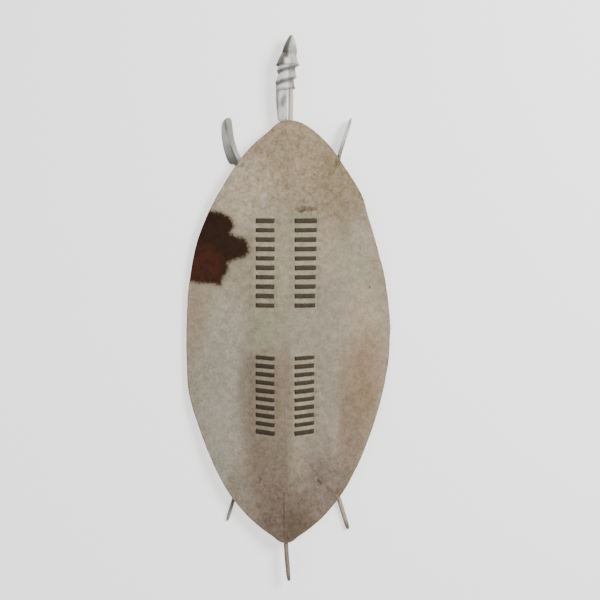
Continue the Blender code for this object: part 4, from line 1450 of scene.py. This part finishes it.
def sowing_tree():
    tree, given, result = new_tree("sow_locks", {
        "Lock": ("Object", None),
        "Density": ("Float", 100000.0),
        "Length": ("Float", 0.010),
        "Length Spread": ("Float", 0.4),
        "Lift": ("Float", 0.35),
        "Stray": ("Float", 0.22),
        "Thickness": ("Float", 1.0),
        "Seed": ("Int", 7),
        "Finish": ("Material", None),
    })
    sown = add_node(tree, "GeometryNodeDistributePointsOnFaces", {"distribute_method": "RANDOM"}, {
        "Mesh": given.outputs["Geometry"], "Density": given.outputs["Density"], "Seed": given.outputs["Seed"],
    })
    out = scaled(tree, sown.outputs["Normal"], given.outputs["Lift"])
    chance = add_node(tree, "FunctionNodeRandomValue", {"data_type": "FLOAT_VECTOR"}, {
        "Min": (-1.0, -1.0, -1.0), "Max": (1.0, 1.0, 1.0), "Seed": given.outputs["Seed"],
    })
    stray = scaled(tree, chance.outputs[0], given.outputs["Stray"])
    loose = added(tree, added(tree, named(tree, "comb", "FLOAT_VECTOR"), out), stray)
    aim = add_node(tree, "FunctionNodeAlignRotationToVector", {"axis": "Z"}, {"Vector": loose})
    shortest = tree_maths(tree, "SUBTRACT", 1.0, given.outputs["Length Spread"])
    size = add_node(tree, "FunctionNodeRandomValue", {"data_type": "FLOAT"}, {"Seed": given.outputs["Seed"]})
    # The node has sockets of the same name for each kind of value, and only one kind is enabled.
    tree.links.new(shortest, next(s for s in size.inputs if s.name == "Min" and s.enabled))
    next(s for s in size.inputs if s.name == "Max" and s.enabled).default_value = 1.0
    chosen = next(s for s in size.outputs if s.enabled)
    grown = tree_maths(tree, "MULTIPLY", chosen, named(tree, "grow"))
    long = tree_maths(tree, "MULTIPLY", grown, given.outputs["Length"])
    thick = tree_maths(tree, "MULTIPLY", given.outputs["Length"], given.outputs["Thickness"])
    scale = add_node(tree, "ShaderNodeCombineXYZ", None, {0: thick, 1: thick, 2: long})
    model = add_node(tree, "GeometryNodeObjectInfo", None, {"Object": given.outputs["Lock"]})
    set_out = add_node(tree, "GeometryNodeInstanceOnPoints", None, {
        "Points": sown.outputs["Points"],
        "Instance": model.outputs["Geometry"],
        "Rotation": aim.outputs[0],
        "Scale": scale.outputs[0],
    })
    finished = made_real(tree, set_out.outputs[0], given.outputs["Finish"])
    both = tree.nodes.new("GeometryNodeJoinGeometry")
    tree.links.new(finished, both.inputs[0])
    tree.links.new(given.outputs["Geometry"], both.inputs[0])
    tree.links.new(both.outputs[0], result.inputs[0])
    return tree


lock = lock_mesh()
sow = sowing_tree()


def combed(piece, name, finish, **sizes):
    """Grows locks over a body whose points know which way they are combed."""
    modifier = piece.modifiers.new("sow", "NODES")
    modifier.node_group = sow
    modifier[socket_id(sow, "Lock")] = lock
    modifier[socket_id(sow, "Finish")] = finish
    for label, value in sizes.items():
        modifier[socket_id(sow, label.replace("_", " ").title())] = value
    piece = settled(piece)
    piece.name = name
    print(name + ":", triangles(piece), "triangles")
    return piece


def store_comb(piece, direction_at):
    """Keeps for each point the way in which its locks are combed."""
    layer = piece.data.attributes.new("comb", "FLOAT_VECTOR", "POINT")
    places = point_array(piece)
    layer.data.foreach_set("vector", np.array([direction_at(Vector(p)) for p in places], np.float32).ravel())

# %% Where shade is painted on the fur, and how long it grows
def step(value, start, end):
    return soft_step((value - start) / (end - start))


def head_shade(x, y, z):
    """Painted shade, 0 on white fur to 1 at the darkest, on the left sides and under the hems, read from the
    photograph where it shows the fur.
    """
    px, py = in_photo(x, y)
    down = TIP_Y - y
    turn = turn_share(clamp(down / WRAP_LENGTH) * WRAP_LENGTH, share_round(x, y, z))
    if down <= HEAD_LENGTH:
        boundary = PHOTO_X + 3.2 * step(py, 50, 36)
        left = 1 - step(px, boundary - 2.0, boundary + 1.6)
        shade = left * (0.98 - 0.030 * (boundary - px)) + (1 - left) * (0.26 + 0.34 * step(px, 294.5, 298.5))
        low = 0.84 - 0.80 * step(px, 282.5, 286.0) + 0.36 * step(px, 288, 292) + 0.15 * step(px, 297, 300)
        return clamp(shade + (low - shade) * step(py, 55, 60.5))
    # Painted shade in the recess under each hem.
    recess = (1 - step(turn, 0.14, 0.52)) * (1 - step(down, WRAP_LENGTH - 0.004, WRAP_LENGTH - 0.002))
    column = step(px, 287.5, 290)
    shade = recess * (0.62 - 0.28 * column) + column * 0.36
    spot = math.exp(-(((px - 294) / 2.4) ** 2) - ((py - 86) / 4.5) ** 2)
    return clamp(shade + 0.40 * spot)


def head_growth(x, y, z):
    """Shorter locks near the tip and the hems, so that the outline stays that of the solid."""
    down = TIP_Y - y
    if down <= HEAD_LENGTH:
        near_tip = 0.45 + 0.55 * step(down, 0.0, 0.014)
        return near_tip * (1 - 0.62 * step(down, HEAD_LENGTH - 0.018, HEAD_LENGTH))
    return 0.95 - 0.55 * step(turn_share(down, share_round(x, y, z)), 0.40, 1.0)


def tongue_shade(x, y, z):
    # Painted shade on the loose end: along its left edge, a slanting shadow in the fur, and its lower end.
    px, py = in_photo(x, y)
    edge = (1 - step(px, 277.4, 279.6)) * (0.42 - 0.22 * step(py, 104, 110))
    slant = px - (284.8 - (py - 93) * 0.28)
    spot = math.exp(-((slant / 2.4) ** 2)) * step(py, 90, 98) * (1 - step(py, 100, 109))
    return clamp(0.01 + edge + 0.55 * spot + 0.30 * step(py, 116, 120))


def tongue_growth(x, y, z):
    return 1 - 0.6 * step(TIP_Y - y, WRAP_LENGTH + 0.052, WRAP_LENGTH + 0.078)

# %% Fur finish and the finished head
def pale_fur():
    f = Finish("long_fur")
    wisp = f.smooth(f.noise(1.0, 4, 0.6, at=f.stretched(520, 70, 520)), 0.32, 0.68)
    # Painted shade: the stored shade darkens the white fur towards grey olive.
    # Colours are mixed as light is, where a little white hides a lot of grey, so the share is steepened.
    shade = f.clamp01(f.attribute("shade") + (wisp - 0.5) * 0.16)
    painted_shade = 1.0 - (1.0 - shade) ** 2.0
    colour = f.blend(tone(253, 251, 246), tone(64, 57, 36), painted_shade)
    colour = f.blend(colour, tone(160, 150, 130), (1.0 - f.attribute("tipward")) * 0.05)
    return f.finish(colour, 0.9, wisp, 0.0003, sheen_weight=0.6, sheen_roughness=0.6)


fur_finish = pale_fur()
body = to_object(fur_body(), "fur_body")
tongue = to_object(fur_tongue(), "fur_tongue")
for piece, shade_at, growth_at in ((body, head_shade, head_growth), (tongue, tongue_shade, tongue_growth)):
    piece.data.materials.append(fur_finish)
    places = point_array(piece)
    store(piece, "shade", [shade_at(*p) for p in places])
    store(piece, "grow", [growth_at(*p) for p in places])
    store(piece, "tipward", [0.4] * len(places))
store_comb(body, lambda p: Vector(((p.x - stick_x(p.y)) * 9, -1.0, (p.z - STICK_Z) * 9)))
store_comb(tongue, lambda p: Vector((0.0, -1.0, 0.0)))
fur_sizes = dict(density=360000.0, length_spread=0.45, lift=0.01, stray=0.08, thickness=0.66)
body = combed(body, "fur_head", fur_finish, length=0.0105, seed=3, **fur_sizes)
tongue = combed(tongue, "fur_tongue", fur_finish, length=0.0100, seed=11, **fur_sizes)
for piece in (body, tongue):
    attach(piece, "root")
    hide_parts("fur_wrap")
bpy.data.objects.remove(lock)

# %% [markdown]
# ## Floor, light and camera
#
# The photograph is a front view, so with the shield on its back the camera looks straight down, with
# the fur at the top of the picture. Light is soft and comes mostly from the upper right, as the
# bright right sides and dark left sides of the blade and fur show.

# %% Floor
FLOOR_HALF_SIZE = 25.0
floor_mesh = bmesh.new()
bmesh.ops.create_grid(floor_mesh, x_segments=2, y_segments=2, size=FLOOR_HALF_SIZE)
floor = to_object(floor_mesh, "floor", smooth=False)
paper = Finish("pale_floor")
floor.data.materials.append(
    paper.finish(tone(248, 248, 247), 0.9, emission_color=(1, 1, 1, 1), emission_strength=0.9)
)

# %% Lights
def soft_light(name, place, size, power):
    """A square light that looks at the shield's middle."""
    lamp = bpy.data.lights.new(name, "AREA")
    lamp.shape, lamp.size, lamp.energy = "SQUARE", size, power
    light = bpy.data.objects.new(name, lamp)
    light.location = place
    light.rotation_euler = (-Vector(place)).to_track_quat("-Z", "Y").to_euler()
    bpy.context.scene.collection.objects.link(light)


soft_light("key", (2.3, 1.3, 2.4), 1.4, 170)
soft_light("fill", (-2.4, -1.0, 3.0), 2.6, 40)
world = bpy.data.worlds.new("soft_sky")
world.use_nodes = True
sky = world.node_tree.nodes["Background"].inputs
sky["Color"].default_value, sky["Strength"].default_value = (1, 1, 1, 1), 0.5
bpy.context.scene.world = world

# %% Camera
# The lens makes a pixel of the square picture PIXEL wide at the height of the hide's face.
CAMERA_HEIGHT, FACE_HEIGHT, SENSOR_WIDTH, PICTURE_SIDE = 4.0, 0.034, 36, 600
camera_data = bpy.data.cameras.new("camera")
camera_data.sensor_width = SENSOR_WIDTH
camera_data.lens = SENSOR_WIDTH * (CAMERA_HEIGHT - FACE_HEIGHT) / (PICTURE_SIDE * PIXEL)
camera = bpy.data.objects.new("camera", camera_data)
centre_x, centre_y = at_photo(PICTURE_SIDE / 2, PICTURE_SIDE / 2)
camera.location = (centre_x, centre_y, CAMERA_HEIGHT)
bpy.context.scene.collection.objects.link(camera)
bpy.context.scene.camera = camera
print("camera over", round(centre_x, 4), round(centre_y, 4), "lens", round(camera_data.lens, 1))
